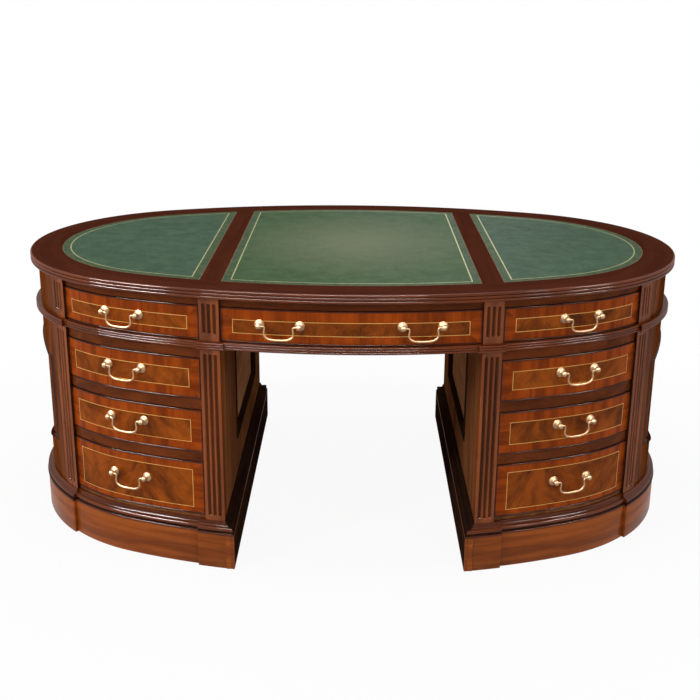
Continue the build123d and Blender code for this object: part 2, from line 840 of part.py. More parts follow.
# Cupboard doors at the back. Each turns about a pin at its outer edge, just proud of the pilaster.
hinge_x = outer_pilaster_start - hinge_axis_inset
hinge_face = oval_point(end_angle(outer_pilaster_start, pilaster_inset), pilaster_inset)
hinge_y = -hinge_face[1] + hinge_axis_proud
door_low = lower_drawer_low + gap
door_high = upper_drawer_high - gap
hinge_heights = (door_low + hinge_inset, door_high - hinge_inset - hinge_length)


def knuckle(low, high, bore):
    barrel = Cylinder(hinge_knuckle_radius, high - low, align=(Align.CENTER, Align.CENTER, Align.MIN))
    barrel -= Cylinder(bore, high - low, align=(Align.CENTER, Align.CENTER, Align.MIN))
    return Pos(hinge_x, hinge_y, low) * barrel


def fixed_hinge(low):
    """Leaf on the pilaster with its outer knuckles, and the pin through them."""
    step = hinge_length / knuckles
    leaf = block(outer_pilaster_start - hinge_leaf_thickness, outer_pilaster_start,
                 hinge_y - hinge_leaf_width, hinge_y, low, low + hinge_length)
    middle = Pos(hinge_x, hinge_y, low + step - knuckle_gap) * Cylinder(
        hinge_knuckle_radius + knuckle_gap, step + 2 * knuckle_gap,
        align=(Align.CENTER, Align.CENTER, Align.MIN))
    leaf -= middle
    lower = knuckle(low, low + step - knuckle_gap, hinge_pin_radius)
    upper = knuckle(low + (knuckles - 1) * step + knuckle_gap, low + hinge_length, hinge_pin_radius)
    bore = Pos(hinge_x, hinge_y, low) * Cylinder(
        hinge_pin_radius, hinge_length, align=(Align.CENTER, Align.CENTER, Align.MIN))
    leaf = leaf + lower + upper - bore
    return [leaf, bore]


def moving_hinge(low):
    """Leaf on the door's edge with the middle knuckle."""
    step = hinge_length / knuckles
    leaf_start = outer_pilaster_start - hinge_gap
    leaf = block(leaf_start, leaf_start + hinge_leaf_thickness,
                 hinge_y - hinge_leaf_width, hinge_y, low, low + hinge_length)
    clear = Pos(hinge_x, hinge_y, 0) * Cylinder(
        hinge_knuckle_radius + knuckle_gap, hinge_length,
        align=(Align.CENTER, Align.CENTER, Align.MIN))
    leaf -= Pos(0, 0, low - hinge_length + step) * clear
    leaf -= Pos(0, 0, low + (knuckles - 1) * step) * clear
    leaf += knuckle(low + step, low + (knuckles - 1) * step, hinge_pin_radius + running_clearance)
    bore = Pos(hinge_x, hinge_y, low) * Cylinder(
        hinge_pin_radius + running_clearance, hinge_length,
        align=(Align.CENTER, Align.CENTER, Align.MIN))
    return leaf - bore


def door_knob():
    """Turned knob near the door's free edge, its foot seated on the bowed face."""
    angle = bow_angle(pilaster_end + knob_edge_distance, drawer_inset)
    height = (door_low + door_high) / 2
    stem = Pos(0, knob_radius, 0) * Rot(90, 0, 0) * Cylinder(
        knob_stem_radius, knob_stem_length + knob_radius, align=(Align.CENTER, Align.CENTER, Align.MIN))
    head = Pos(0, -knob_stem_length, 0) * Sphere(knob_radius)
    head &= Box(2 * knob_radius, 3 * knob_radius, 2 * knob_radius)
    knob = stem + head
    wood = slab(drawer_inset, height - post_spacing, height + post_spacing)
    return to_back(handle_place(angle, height) * knob - wood)


def doors():
    front = bowed_front(
        pilaster_end + gap, outer_pilaster_start - hinge_gap, door_low, door_high, front_thickness
    )
    door = to_back(front)
    fittings = [door_knob()]
    fixed = []
    for low in hinge_heights:
        fittings.append(moving_hinge(low))
        fixed += fixed_hinge(low)
    write("right_door", [door])
    write("left_door", [to_left(door)])
    write("right_door_fittings", fittings)
    write("left_door_fittings", [to_left(piece) for piece in fittings])
    write("door_hinges", [copy for piece in fixed for copy in both_ends(piece)])


os.makedirs("parts", exist_ok=True)
top_pieces()
frieze_moulding()
frieze_carcass()
frieze_ends_and_blocks()
pedestals()
frieze_centre_drawers()
side_drawers()
doors()
print(f"bow radius {bow_radius:.1f}, junction {junction:.2f} degrees")
print(f"frieze low {frieze_low:.1f}, hinge axis x {hinge_x:.2f} y {hinge_y:.2f}")
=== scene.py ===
# %% [markdown]
# # An oval partners desk
# The desk is a bowed mahogany case on two plinths, with three green leathers let into its oval top.
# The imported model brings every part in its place, so each piece here is made where the real one
# sits: first the oval itself, then the finishes, the top, the mouldings, the drawers and the handles.

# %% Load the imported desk
import cmath
from math import asin, atan2, copysign, cos, degrees, pi, radians, sin, sqrt
import bmesh
import bpy
from mathutils import Matrix, Vector


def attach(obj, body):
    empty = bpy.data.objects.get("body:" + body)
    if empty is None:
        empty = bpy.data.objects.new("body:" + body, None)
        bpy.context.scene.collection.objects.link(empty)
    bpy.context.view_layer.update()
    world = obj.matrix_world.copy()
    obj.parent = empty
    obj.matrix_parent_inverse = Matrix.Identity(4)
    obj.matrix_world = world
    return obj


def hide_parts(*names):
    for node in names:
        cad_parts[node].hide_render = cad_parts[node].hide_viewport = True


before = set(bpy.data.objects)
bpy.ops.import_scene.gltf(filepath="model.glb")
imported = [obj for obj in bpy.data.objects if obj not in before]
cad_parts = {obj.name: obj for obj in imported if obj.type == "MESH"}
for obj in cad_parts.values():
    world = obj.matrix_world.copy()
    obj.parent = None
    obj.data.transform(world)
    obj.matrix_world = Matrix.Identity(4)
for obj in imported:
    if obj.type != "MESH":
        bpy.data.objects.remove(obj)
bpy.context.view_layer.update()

# %% [markdown]
# ## The oval
# Four tangent arcs make the plan: long bows at the front and back, tighter ones at the ends.
# A maker sets out curved work by its developed length, as if the wall were unrolled. So every curved
# piece is modelled flat, with x along the wall, y into the desk and z up, and is then bent to the
# oval. An inset says how far behind the top's edge a wall stands.

# %% Set out the four arcs
half_length, half_depth, end_radius = 0.951, 0.613, 0.533
end_centre = half_length - end_radius
drawer_inset, pilaster_inset, rail_inset = 0.027, 0.018, 0.029
bow_radius = (end_centre**2 + half_depth**2 - end_radius**2) / (2 * (half_depth - end_radius))
bow_centre = bow_radius - half_depth
join_turn = atan2(end_centre, bow_centre)
print("bow radius", round(bow_radius, 4), "arcs join at", round(degrees(join_turn), 2), "degrees")


def arc_lengths(inset):
    """Length of half the front bow, and of a whole end."""
    return (bow_radius - inset) * join_turn, (end_radius - inset) * (pi - 2 * join_turn)


def half_round(inset):
    bow, end = arc_lengths(inset)
    return 2 * bow + end


def turn_at(run, inset):
    """How far the wall has turned from straight ahead, after a run from the middle of the front."""
    bow, end = arc_lengths(inset)
    way = abs(run)
    if way <= bow:
        turn = way / (bow_radius - inset)
    elif way <= bow + end:
        turn = join_turn + (way - bow) / (end_radius - inset)
    else:
        turn = pi - join_turn + (way - bow - end) / (bow_radius - inset)
    return copysign(turn, run)


def wall_point(turn, inset):
    """Plan point of the wall at one turn."""
    away = abs(turn)
    on_end = join_turn < away <= pi - join_turn
    radius = (end_radius if on_end else bow_radius) - inset
    x, y = radius * sin(away), -radius * cos(away)
    if on_end:
        x += end_centre
    else:
        y += bow_centre if away <= join_turn else -bow_centre
    return copysign(x, turn), y


def turn_to_x(x, inset):
    """Turn at which the front wall passes x."""
    turn = asin(abs(x) / (bow_radius - inset))
    if turn > join_turn:
        turn = asin((abs(x) - end_centre) / (end_radius - inset))
    return copysign(turn, x)


def run_to_turn(turn, inset):
    """Run from the middle of the front to a turn on the front or an end."""
    way = abs(turn)
    if way <= join_turn:
        return turn * (bow_radius - inset)
    return copysign(arc_lengths(inset)[0] + (way - join_turn) * (end_radius - inset), turn)


def run_to_x(x, inset):
    return run_to_turn(turn_to_x(x, inset), inset)


def front_y(x, inset):
    """How far forward the wall stands at x."""
    radius = bow_radius - inset
    if abs(x) <= radius * sin(join_turn):
        return bow_centre - sqrt(radius**2 - x**2)
    return -sqrt((end_radius - inset)**2 - (abs(x) - end_centre)**2)


print("half way round the top's edge is", round(half_round(0), 3), "m")

# %% [markdown]
# ## Helpers for boards and bending
# A board is a cube stretched to its size. Before it is bent it is sliced every centimetre, because
# a face can't bend, and the grain is laid on it as a UV map in metres: U runs with the grain.
# Rings and raised work come from two tools: a face is inset by a width, or drawn out by a way.

# %% Board, slice, grain, bend and finish


def everything(bm):
    return bm.verts[:] + bm.edges[:] + bm.faces[:]


def only(kind, parts):
    return [part for part in parts if isinstance(part, kind)]


def board(x_low, x_high, y_low, y_high, low, high, soft=0.0):
    """Board between six planes, with its edges eased by soft."""
    bm = bmesh.new()
    bmesh.ops.create_cube(bm, size=1)
    bmesh.ops.scale(bm, verts=bm.verts, vec=(x_high - x_low, y_high - y_low, high - low))
    middle = ((x_low + x_high) / 2, (y_low + y_high) / 2, (low + high) / 2)
    bmesh.ops.translate(bm, verts=bm.verts, vec=middle)
    if soft:
        ease(bm, bm.edges[:], soft, 2)
    return bm


def ease(bm, edges, width, segments):
    bmesh.ops.bevel(bm, geom=edges, offset=width, segments=segments, profile=0.5, affect="EDGES",
                    material=-1)


def face_at(bm, end, axis):
    """Face that lies furthest along an axis, where end is min or max."""
    return end(bm.faces, key=lambda face: face.calc_center_median()[axis])


def inset_face(bm, face, width):
    """Insets a face evenly, and gives the ring round it."""
    return bmesh.ops.inset_region(bm, faces=[face], thickness=width, use_even_offset=True)["faces"]


def draw_faces(bm, faces, way):
    """Draws faces out by a way, and gives the new faces and their corners."""
    drawn = bmesh.ops.extrude_face_region(bm, geom=faces)["geom"]
    moved = only(bmesh.types.BMVert, drawn)
    bmesh.ops.translate(bm, verts=moved, vec=way)
    return only(bmesh.types.BMFace, drawn), moved


def paint(faces, number):
    for face in faces:
        face.material_index = number


def span(verts, axis):
    places = [vertex.co[axis] for vertex in verts]
    return min(places), max(places)


def slice_along(bm, step=0.01):
    """Cuts across the run, so that the piece can follow a curve."""
    low, high = span(bm.verts, 0)
    cuts = max(1, round((high - low) / step))
    for number in range(1, cuts):
        place = low + (high - low) * number / cuts
        bmesh.ops.bisect_plane(bm, geom=everything(bm), dist=1e-7, plane_co=(place, 0, 0),
                               plane_no=(1, 0, 0))


def lay_grain(bm, along, across, faces=None, origin=(0, 0, 0), girth=False):
    """Writes the grain's map: along and across are axes, 0 for x, 1 for y and 2 for z. With girth,
    the depth is added, so that no face of a moulding is without grain."""
    layer = bm.loops.layers.uv.verify()
    for face in bm.faces if faces is None else faces:
        for loop in face.loops:
            place = loop.vert.co - Vector(origin)
            loop[layer].uv = (place[along], place[across] + (place.y if girth else 0))


def bend(bm, inset, square=False):
    """Bends a flat piece to the wall. Square ends keep to one x behind the face."""
    for vertex in bm.verts:
        run, depth, height = vertex.co
        turn = turn_at(run, inset)
        if square and depth > 0:
            x = wall_point(turn, inset)[0]
            vertex.co = (x, front_y(x, inset + depth), height)
        else:
            vertex.co = (*wall_point(turn, inset + depth), height)


def mirror_too(bm, axes):
    """Adds the mirror image. Faces on the mirror's plane would be shut inside, so they go."""
    for axis in axes:
        number = "XYZ".index(axis)
        flat = [face for face in bm.faces
                if all(abs(vertex.co[number]) < 1e-5 for vertex in face.verts)]
        bmesh.ops.delete(bm, geom=flat, context="FACES_ONLY")
        bmesh.ops.mirror(bm, geom=everything(bm), merge_dist=1e-6, axis=axis)


def flip(bm, left, back):
    """Moves a piece made for the right front to another corner."""
    bmesh.ops.scale(bm, verts=bm.verts, vec=(-1 if left else 1, -1 if back else 1, 1))


def mesh_from(name, bm):
    mesh = bpy.data.meshes.new(name)
    bm.to_mesh(mesh)
    bm.free()
    return mesh


def add_part(whole, part):
    """Puts a part into a piece."""
    scrap = mesh_from("scrap", part)
    whole.from_mesh(scrap)
    bpy.data.meshes.remove(scrap)


def stand(name, data):
    """Puts a new object into the scene."""
    thing = bpy.data.objects.new(name, data)
    bpy.context.scene.collection.objects.link(thing)
    return thing


def finish_piece(name, bm, finishes, *nodes, body="desk", slot="mahogany", crease=32):
    """Turns a bmesh into a shaded object that rides on its body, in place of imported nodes."""
    bmesh.ops.remove_doubles(bm, verts=bm.verts, dist=2e-6)
    bmesh.ops.dissolve_degenerate(bm, edges=bm.edges, dist=1e-7)
    bmesh.ops.recalc_face_normals(bm, faces=bm.faces)
    for face in bm.faces:
        face.smooth = True
    for edge in bm.edges:
        edge.smooth = edge.calc_face_angle(pi) < radians(crease)
    piece = stand(name, mesh_from(name, bm))
    for finish in finishes:
        piece.data.materials.append(finish)
    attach(piece, body)
    if nodes:
        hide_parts(*nodes)
    return piece


print("helpers for boards ready")

# %% [markdown]
# ## Camera, floor and light
# The photograph was taken standing in front of the knee hole, a little above the top. The lens and
# place come from fitting a camera to the rim and the plinths. The light is soft and comes from the
# left more than the right. Three long shine lamps show only in the polish, as the bright lines along
# the mouldings, and the room behind the camera is dim there, so that the wood keeps its colour. The
# floor is white and keeps a shadow.

# %% Stand the camera
yaw, pitch, roll = radians(-0.239), radians(17.93), radians(0.461)
ahead = Vector((sin(yaw) * cos(pitch), cos(yaw) * cos(pitch), -sin(pitch)))
level = Vector((cos(yaw), -sin(yaw), 0))
upward = level.cross(ahead)
right_way = level * cos(roll) + upward * sin(roll)
up_way = upward * cos(roll) - level * sin(roll)
lens = bpy.data.cameras.new("camera")
lens.lens, lens.sensor_width = 56.57, 36
camera = stand("camera", lens)
axes = Matrix((right_way, up_way, -ahead)).transposed()
camera.matrix_world = Matrix.Translation((0.0086, -3.2502, 1.4956)) @ axes.to_4x4()
bpy.context.scene.camera = camera
bpy.context.scene.view_settings.view_transform = "Standard"
print("camera", camera.location, lens.lens)

# %% Node helpers


def put(tree, kind, inputs=None, **settings):
    """Adds one shader node, sets it up and joins its inputs. A colour is given as red, green, blue."""
    node = tree.nodes.new("ShaderNode" + kind)
    for name, value in settings.items():
        setattr(node, name, value)
    for name, value in (inputs or {}).items():
        socket = node.inputs[name]
        if isinstance(value, bpy.types.NodeSocket):
            tree.links.new(value, socket)
        else:
            socket.default_value = (*value, 1) if socket.type == "RGBA" else value
    return node


def calc(tree, operation, *values, clamp=False):
    node = put(tree, "Math", dict(enumerate(values)), operation=operation, use_clamp=clamp)
    return node.outputs[0]


def times(tree, value, by, plus=0.0):
    return calc(tree, "MULTIPLY_ADD", value, by, plus)


def stretch(tree, vector, scales):
    return put(tree, "VectorMath", {0: vector, 1: scales}, operation="MULTIPLY").outputs[0]


def length_of(tree, vector):
    return put(tree, "VectorMath", {0: vector}, operation="LENGTH").outputs["Value"]


def split(tree, vector):
    return put(tree, "SeparateXYZ", {0: vector}).outputs


def vector_of(tree, x, y, z=0.0):
    return put(tree, "CombineXYZ", {0: x, 1: y, 2: z}).outputs[0]


def place_of(tree):
    """Where a point lies on the desk."""
    return put(tree, "TexCoord").outputs["Object"]


def choose(tree, share, first, second):
    """First number where share is 0, second where it is 1."""
    return put(tree, "Mix", {0: share, 2: first, 3: second}).outputs[0]


def mix_colours(tree, share, first, second, blend="MIX"):
    inputs = {0: share, 6: first, 7: second}
    return put(tree, "Mix", inputs, data_type="RGBA", blend_type=blend).outputs[2]


def spread(tree, value, low, high, to_low=0.0, to_high=1.0):
    """Stretches a range of values to another, held at its ends."""
    return put(tree, "MapRange", dict(enumerate((value, low, high, to_low, to_high)))).outputs[0]


def mottle(tree, vector, scale, low=0.0, high=1.0, detail=3.0, roughness=0.5, distortion=0.0):
    """Cloudy noise between two of its levels. Three scales draw it out along the axes."""
    if isinstance(scale, tuple):
        vector, scale = stretch(tree, vector, scale), 1.0
    inputs = {"Vector": vector, "Scale": scale, "Detail": detail, "Roughness": roughness,
              "Distortion": distortion}
    return spread(tree, put(tree, "TexNoise", inputs).outputs[0], low, high)


def new_tree(owners, name):
    """Empty material or world, and its tree."""
    owner = owners.new(name)
    owner.use_nodes = True
    owner.node_tree.nodes.clear()
    return owner, owner.node_tree


def seen_directly(tree):
    """1 for what the camera, a mirror or a glass sees, 0 for light that falls on something."""
    path = put(tree, "LightPath").outputs
    seen = calc(tree, "MAXIMUM", path["Is Camera Ray"], path["Is Glossy Ray"])
    return calc(tree, "MAXIMUM", seen, path["Is Transmission Ray"])


print("node helpers ready")

# %% World with its dim room
white = (1, 1, 1)
world, tree = new_tree(bpy.data.worlds, "studio")
bpy.context.scene.world = world
side_part, back_part, up_part = split(tree, put(tree, "TexCoord").outputs["Generated"])
room = times(tree, spread(tree, back_part, -0.1, -0.5), spread(tree, up_part, 0.6, 0.35))
in_camera = put(tree, "LightPath").outputs["Is Camera Ray"]
room = times(tree, room, calc(tree, "SUBTRACT", 1.0, in_camera))
strength = choose(tree, seen_directly(tree), 0.42, spread(tree, room, 0.0, 1.0, 1.0, 0.2))
backdrop = put(tree, "Background", {"Color": white, "Strength": strength})
put(tree, "OutputWorld", {"Surface": backdrop.outputs[0]})
print("world has", len(tree.nodes), "nodes")

# %% Pale floor
floor_finish, tree = new_tree(bpy.data.materials, "pale_floor")
place = place_of(tree)
away = length_of(tree, stretch(tree, place, (1 / 1.35, 1, 1)))
share = times(tree, spread(tree, away, 0.8, 1.8, 0.93, 1.0), seen_directly(tree))
dust = mix_colours(tree, mottle(tree, place, 3.0), (0.80, 0.80, 0.80), (0.83, 0.83, 0.83))
matt = put(tree, "BsdfDiffuse", {"Color": dust})
glow = put(tree, "Emission", {"Color": white, "Strength": 1.0})
both = put(tree, "MixShader", {0: share, 1: matt.outputs[0], 2: glow.outputs[0]})
put(tree, "OutputMaterial", {"Surface": both.outputs[0]})
floor_bm = bmesh.new()
bmesh.ops.create_circle(floor_bm, cap_ends=True, segments=96, radius=60)
floor = stand("floor", mesh_from("floor", floor_bm))
floor.data.materials.append(floor_finish)
print("floor is", floor.dimensions.x, "m wide")

# %% Lamps
lamps = [
    ("key_lamp", (-3.3, -2.7, 2.5), (0, -0.3, 0.4), 0.6, 1.4, 80),
    ("fill_lamp", (2.9, -3.0, 2.2), (0.2, -0.3, 0.4), 0.4, 1.0, 30),
    ("top_lamp", (0.0, -0.6, 3.2), (0, -0.2, 0.6), 2.4, 0.5, 24),
    ("shine_lamp", (-0.4, -2.1, 3.2), (0, -0.3, 0.5), 2.8, 0.42, 270),
    ("left_shine_lamp", (-2.7, -1.3, 2.7), (0, -0.3, 0.5), 1.8, 0.42, 340),
    ("right_shine_lamp", (2.9, -1.2, 2.7), (0, -0.3, 0.5), 1.2, 0.42, 120),
    ("back_lamp", (0.5, 3.6, 2.4), (0, 0.3, 0.4), 1.2, 1.2, 22),
]
for name, place, aim, width, height, power in lamps:
    data = bpy.data.lights.new(name, "AREA")
    data.shape = "RECTANGLE"
    data.size, data.size_y, data.energy = width, height, power
    box = stand(name, data)
    way = Vector(place) - Vector(aim)
    box.matrix_world = Matrix.Translation(place) @ way.to_track_quat("Z", "Y").to_matrix().to_4x4()
    box.visible_diffuse = "shine" not in name
print(len(lamps), "lamps")

# %% [markdown]
# ## Wood
# Mahogany shows a soft ribbon stripe, a fine grain and short dark pores, all drawn out along the
# board. One node group mixes them, and each wood gives it two colours.

# %% The grain group


def new_group(name, *amounts):
    """Node group that takes a place, two colours and some amounts."""
    group = bpy.data.node_groups.new(name, "ShaderNodeTree")
    kinds = {"Vector": "Vector", "Pale": "Color", "Deep": "Color"}
    for title in (*kinds, *amounts):
        kind = "NodeSocket" + kinds.get(title, "Float")
        group.interface.new_socket(title, in_out="INPUT", socket_type=kind)
    return group, group.nodes.new("NodeGroupInput").outputs


def give(group, **results):
    """Hands out what a node group makes."""
    for title in results:
        kind = "NodeSocketColor" if title == "Color" else "NodeSocketFloat"
        group.interface.new_socket(title, in_out="OUTPUT", socket_type=kind)
    way_out = group.nodes.new("NodeGroupOutput")
    for title, value in results.items():
        group.links.new(value, way_out.inputs[title])


wood_grain, given = new_group("wood_grain", "Stripe", "Pores")
tree, place = wood_grain, given["Vector"]
ribbon = mottle(tree, place, (2.2, 34, 34), 0.34, 0.66, 2.0, 0.5, 0.6)
fibre = mottle(tree, place, (11, 330, 330), 0.3, 0.7, 4.0, 0.6)
pore = times(tree, mottle(tree, place, (70, 1500, 1500), 0.58, 0.68, 2.0, 0.6), given["Pores"])
tone = times(tree, fibre, 0.3, times(tree, ribbon, given["Stripe"]))
tone = times(tree, mottle(tree, place, 7.0, detail=2.0), 0.5, tone)
tone = calc(tree, "SUBTRACT", tone, 0.15, clamp=True)
shade = spread(tree, pore, 0.0, 1.0, 1.0, 0.35)
grey = put(tree, "CombineColor", {0: shade, 1: shade, 2: shade}).outputs[0]
colour = mix_colours(tree, tone, given["Deep"], given["Pale"])
give(tree, Color=mix_colours(tree, 1.0, colour, grey, "MULTIPLY"),
     Roughness=spread(tree, fibre, 0.0, 1.0, 0.26, 0.36),
     Height=times(tree, pore, -0.6, times(tree, fibre, 0.25)))
print("wood_grain has", len(tree.nodes), "nodes")

# %% [markdown]
# Flame veneer is cut where a trunk forks. Its figure is a dark plume with feathers that sweep up and
# out from it, and its colour goes from gold-orange to almost black. The plume is made of bands bent
# by the distance from the middle, then broken up with noise.

# %% The flame group
leaf_width = 0.16
flame_figure, given = new_group("flame_figure")
tree, place = flame_figure, given["Vector"]
up, across, _ = split(tree, place)
warp = spread(tree, mottle(tree, place, 9.0, roughness=0.55), 0.0, 1.0, -0.5, 0.5)
leaf = calc(tree, "PINGPONG", times(tree, warp, 0.09, across), leaf_width)
sweep = calc(tree, "POWER", calc(tree, "DIVIDE", leaf, leaf_width), 1.6)
rise = times(tree, warp, 0.05, times(tree, sweep, -0.13, up))
feather_place = stretch(tree, vector_of(tree, rise, leaf), (16, 12, 1))
feather = mottle(tree, feather_place, 1.0, 0.36, 0.62, 5.0, 0.6)
fine = mottle(tree, feather_place, (4, 22, 1), 0.3, 0.7, roughness=0.6)
tone = times(tree, fine, 0.2, times(tree, feather, 0.62))
tone = times(tree, mottle(tree, place, 13.0, 0.3, 0.7, 2.0), 0.25, tone)
give(tree, Color=mix_colours(tree, tone, given["Deep"], given["Pale"]),
     Roughness=spread(tree, fine, 0.0, 1.0, 0.25, 0.34), Height=fine)
print("flame_figure has", len(tree.nodes), "nodes")

# %% [markdown]
# Where a board has a grain map, U runs with the grain. The imported parts have no map, so their grain
# follows the wall, worked out from the place. Tight hollows get painted shade, dark as near black:
# mouldings made here store their hollows, and a pilaster's flutes are found from their depth.

# %% Where the grain and the painted shade in hollows come from
pedestal_floor_top, end_starts = 0.143, 0.6


def mapped(tree):
    """Grain map of a piece made here."""
    return put(tree, "TexCoord").outputs["UV"]


def folded(tree):
    """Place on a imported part, and how far out and back from the middle it is."""
    x, y, z = split(tree, place_of(tree))
    return x, y, z, calc(tree, "ABSOLUTE", x), calc(tree, "ABSOLUTE", y)


def round_the_wall(tree):
    """Run along the wall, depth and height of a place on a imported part."""
    x, y, z, out, back = folded(tree)
    end_turn = calc(tree, "ARCTAN2", calc(tree, "SUBTRACT", out, end_centre), back)
    bow_turn = calc(tree, "ARCTAN2", out, calc(tree, "ADD", back, bow_centre))
    on_end = calc(tree, "GREATER_THAN", end_turn, join_turn)
    end_run = times(tree, end_turn, end_radius, (bow_radius - end_radius) * join_turn)
    run = choose(tree, on_end, times(tree, bow_turn, bow_radius), end_run)
    return times(tree, run, calc(tree, "SIGN", x)), y, z


def level_grain(tree):
    run, y, z = round_the_wall(tree)
    return vector_of(tree, run, z, y)


def upright_grain(tree):
    run, y, z = round_the_wall(tree)
    return vector_of(tree, z, run)


def shelf_grain(tree):
    """Grain that runs front to back."""
    x, y, z = split(tree, place_of(tree))
    return vector_of(tree, y, x, z)


def pedestal_grain(tree):
    """Upright grain on the flat boards of a pedestal, and a shelf's grain on its bottom."""
    x, y, z = split(tree, place_of(tree))
    on_bottom = calc(tree, "LESS_THAN", z, pedestal_floor_top)
    inputs = {0: on_bottom, 4: vector_of(tree, z, y, x), 5: vector_of(tree, y, x, z)}
    return put(tree, "Mix", inputs, data_type="VECTOR").outputs[1]


# Share of painted shade in the hollows of mouldings made here.
def moulding_hollows(tree):
    return put(tree, "Attribute", attribute_name="hollow").outputs["Fac"]


def flute_hollows(tree):
    """Share of painted shade: 1 deep in a flute, 0 on a pilaster's face and beyond its depth."""
    x, y, z, out, back = folded(tree)
    from_end = length_of(tree, vector_of(tree, calc(tree, "SUBTRACT", out, end_centre), back))
    from_bow = length_of(tree, vector_of(tree, out, calc(tree, "ADD", back, bow_centre)))
    depth = choose(tree, calc(tree, "GREATER_THAN", out, end_starts),
                   calc(tree, "SUBTRACT", bow_radius - pilaster_inset, from_bow),
                   calc(tree, "SUBTRACT", end_radius - pilaster_inset, from_end))
    return times(tree, spread(tree, depth, 0.0008, 0.0040, 0.0, 0.7),
                 spread(tree, depth, 0.0046, 0.0056, 1.0, 0.0))


print("grain follows the wall for", round(half_round(rail_inset), 3), "m on each side")

# %% [markdown]
# French polish is a clear, hard coat over the grain. It fades in the hollows, which get painted shade,
# and on faces seen edge-on, where it would only mirror the white room. Every finish ends with a fine
# relief and one shader.

# %% Polished woods
# Near-black colour of the painted shade in hollows and flutes.
hollow_shade_colour = (0.004, 0.002, 0.001)


def surface(tree, colour, roughness, height, strength, depth, gloss, **more):
    """Ends a finish: fine relief and the shader."""
    dent = put(tree, "Bump", {"Height": height, "Strength": strength, "Distance": depth})
    inputs = {"Base Color": colour, "Roughness": roughness, "Normal": dent.outputs[0],
              "Specular IOR Level": gloss}
    inputs.update((name.replace("_", " "), value) for name, value in more.items())
    shader = put(tree, "BsdfPrincipled", inputs)
    put(tree, "OutputMaterial", {"Surface": shader.outputs[0]})


def polished(name, source, pale, deep, stripe=0.5, pores=0.5, gloss=0.04, coat=0.08, bump=0.25,
             hollows_of=None, figure=wood_grain):
    """French-polished wood."""
    finish, tree = new_tree(bpy.data.materials, name)
    inputs = {"Vector": source(tree), "Pale": pale, "Deep": deep}
    if figure == wood_grain:
        inputs.update(Stripe=stripe, Pores=pores)
    grain = put(tree, "Group", inputs, node_tree=figure).outputs
    colour = grain["Color"]
    # Painted shade: hollows are darkened and lose their coat.
    if hollows_of:
        hollow_shade = hollows_of(tree)
        colour = mix_colours(tree, times(tree, hollow_shade, 0.92), colour, hollow_shade_colour)
        coat = times(tree, calc(tree, "SUBTRACT", 1.0, hollow_shade), coat)
    slant = put(tree, "LayerWeight", {"Blend": 0.5}).outputs["Facing"]
    coat = times(tree, spread(tree, slant, 0.45, 0.8, 1.0, 0.0), coat)
    surface(tree, colour, grain["Roughness"], grain["Height"], bump, 0.0002, gloss,
            Coat_Weight=coat, Coat_Roughness=0.07)
    return finish


inside_colours = (0.27, 0.098, 0.035), (0.10, 0.034, 0.013)
woods = {
    "rail": (level_grain, (0.19, 0.044, 0.010), (0.06, 0.014, 0.004), 0.5, 0.5, 0.02, 0.04),
    "upright": (upright_grain, (0.20, 0.050, 0.009), (0.050, 0.012, 0.003), 0.7, 0.5, 0.0, 0.3),
    "inside": (pedestal_grain, *inside_colours, 0.6, 0.5, 0.0, 0.0),
    "fluted": (upright_grain, (0.30, 0.072, 0.014), (0.095, 0.023, 0.005), 0.6, 0.5, 0.0, 0.4,
               0.25, flute_hollows),
    "moulding": (mapped, (0.22, 0.044, 0.006), (0.06, 0.012, 0.003), 0.4, 0.3, 0.02, 0.4,
                 0.08, moulding_hollows),
    "shelf": (shelf_grain, *inside_colours, 0.6, 0.5, 0.0, 0.0),
    # panel is a paler copy of the inside wood: painted light on the sunk panel, whose recess gets less
    # light.
    "panel": (mapped, (0.62, 0.29, 0.13), (0.32, 0.135, 0.055), 0.6, 0.5, 0.0, 0.0),
    # shaded is a near-black copy of the wood: painted shade on faces in the knee hole and round its
    # panel.
    "shaded": (mapped, (0.050, 0.020, 0.011), (0.018, 0.009, 0.006), 0.4, 0.3, 0.0, 0.0),
    "plinth": (mapped, (0.34, 0.080, 0.010), (0.12, 0.024, 0.003), 0.8, 0.5, 0.04, 0.15),
    "top": (mapped, (0.090, 0.024, 0.012), (0.055, 0.014, 0.008), 0.5, 0.3, 0.0, 0.0, 0.1),
    "bead": (mapped, (0.080, 0.017, 0.004), (0.028, 0.006, 0.002), 0.4, 0.3, 0.0, 0.45),
    "crossband": (mapped, (0.38, 0.062, 0.003), (0.12, 0.018, 0.001), 0.7, 0.6, 0.02),
}
wood = {name: polished(name + "_mahogany", *look) for name, look in woods.items()}
boxwood = polished("boxwood_string", mapped, (0.90, 0.54, 0.15), (0.72, 0.40, 0.09), 0.4, 0.2)
oak = polished("drawer_lining_oak", mapped, (0.44, 0.27, 0.13), (0.30, 0.17, 0.07), 0.5, 0.8,
               0.05, 0.0)
flame_veneer, field_veneer = [
    polished(name, mapped, pale, deep, gloss=0.0, coat=0.15, bump=0.12, figure=flame_figure)
    for name, pale, deep in (("flame_veneer", (0.35, 0.074, 0.004), (0.046, 0.009, 0.001)),
                             ("end_field_veneer", (0.22, 0.055, 0.012), (0.035, 0.009, 0.004)))]
print("woods ready:", ", ".join(wood))
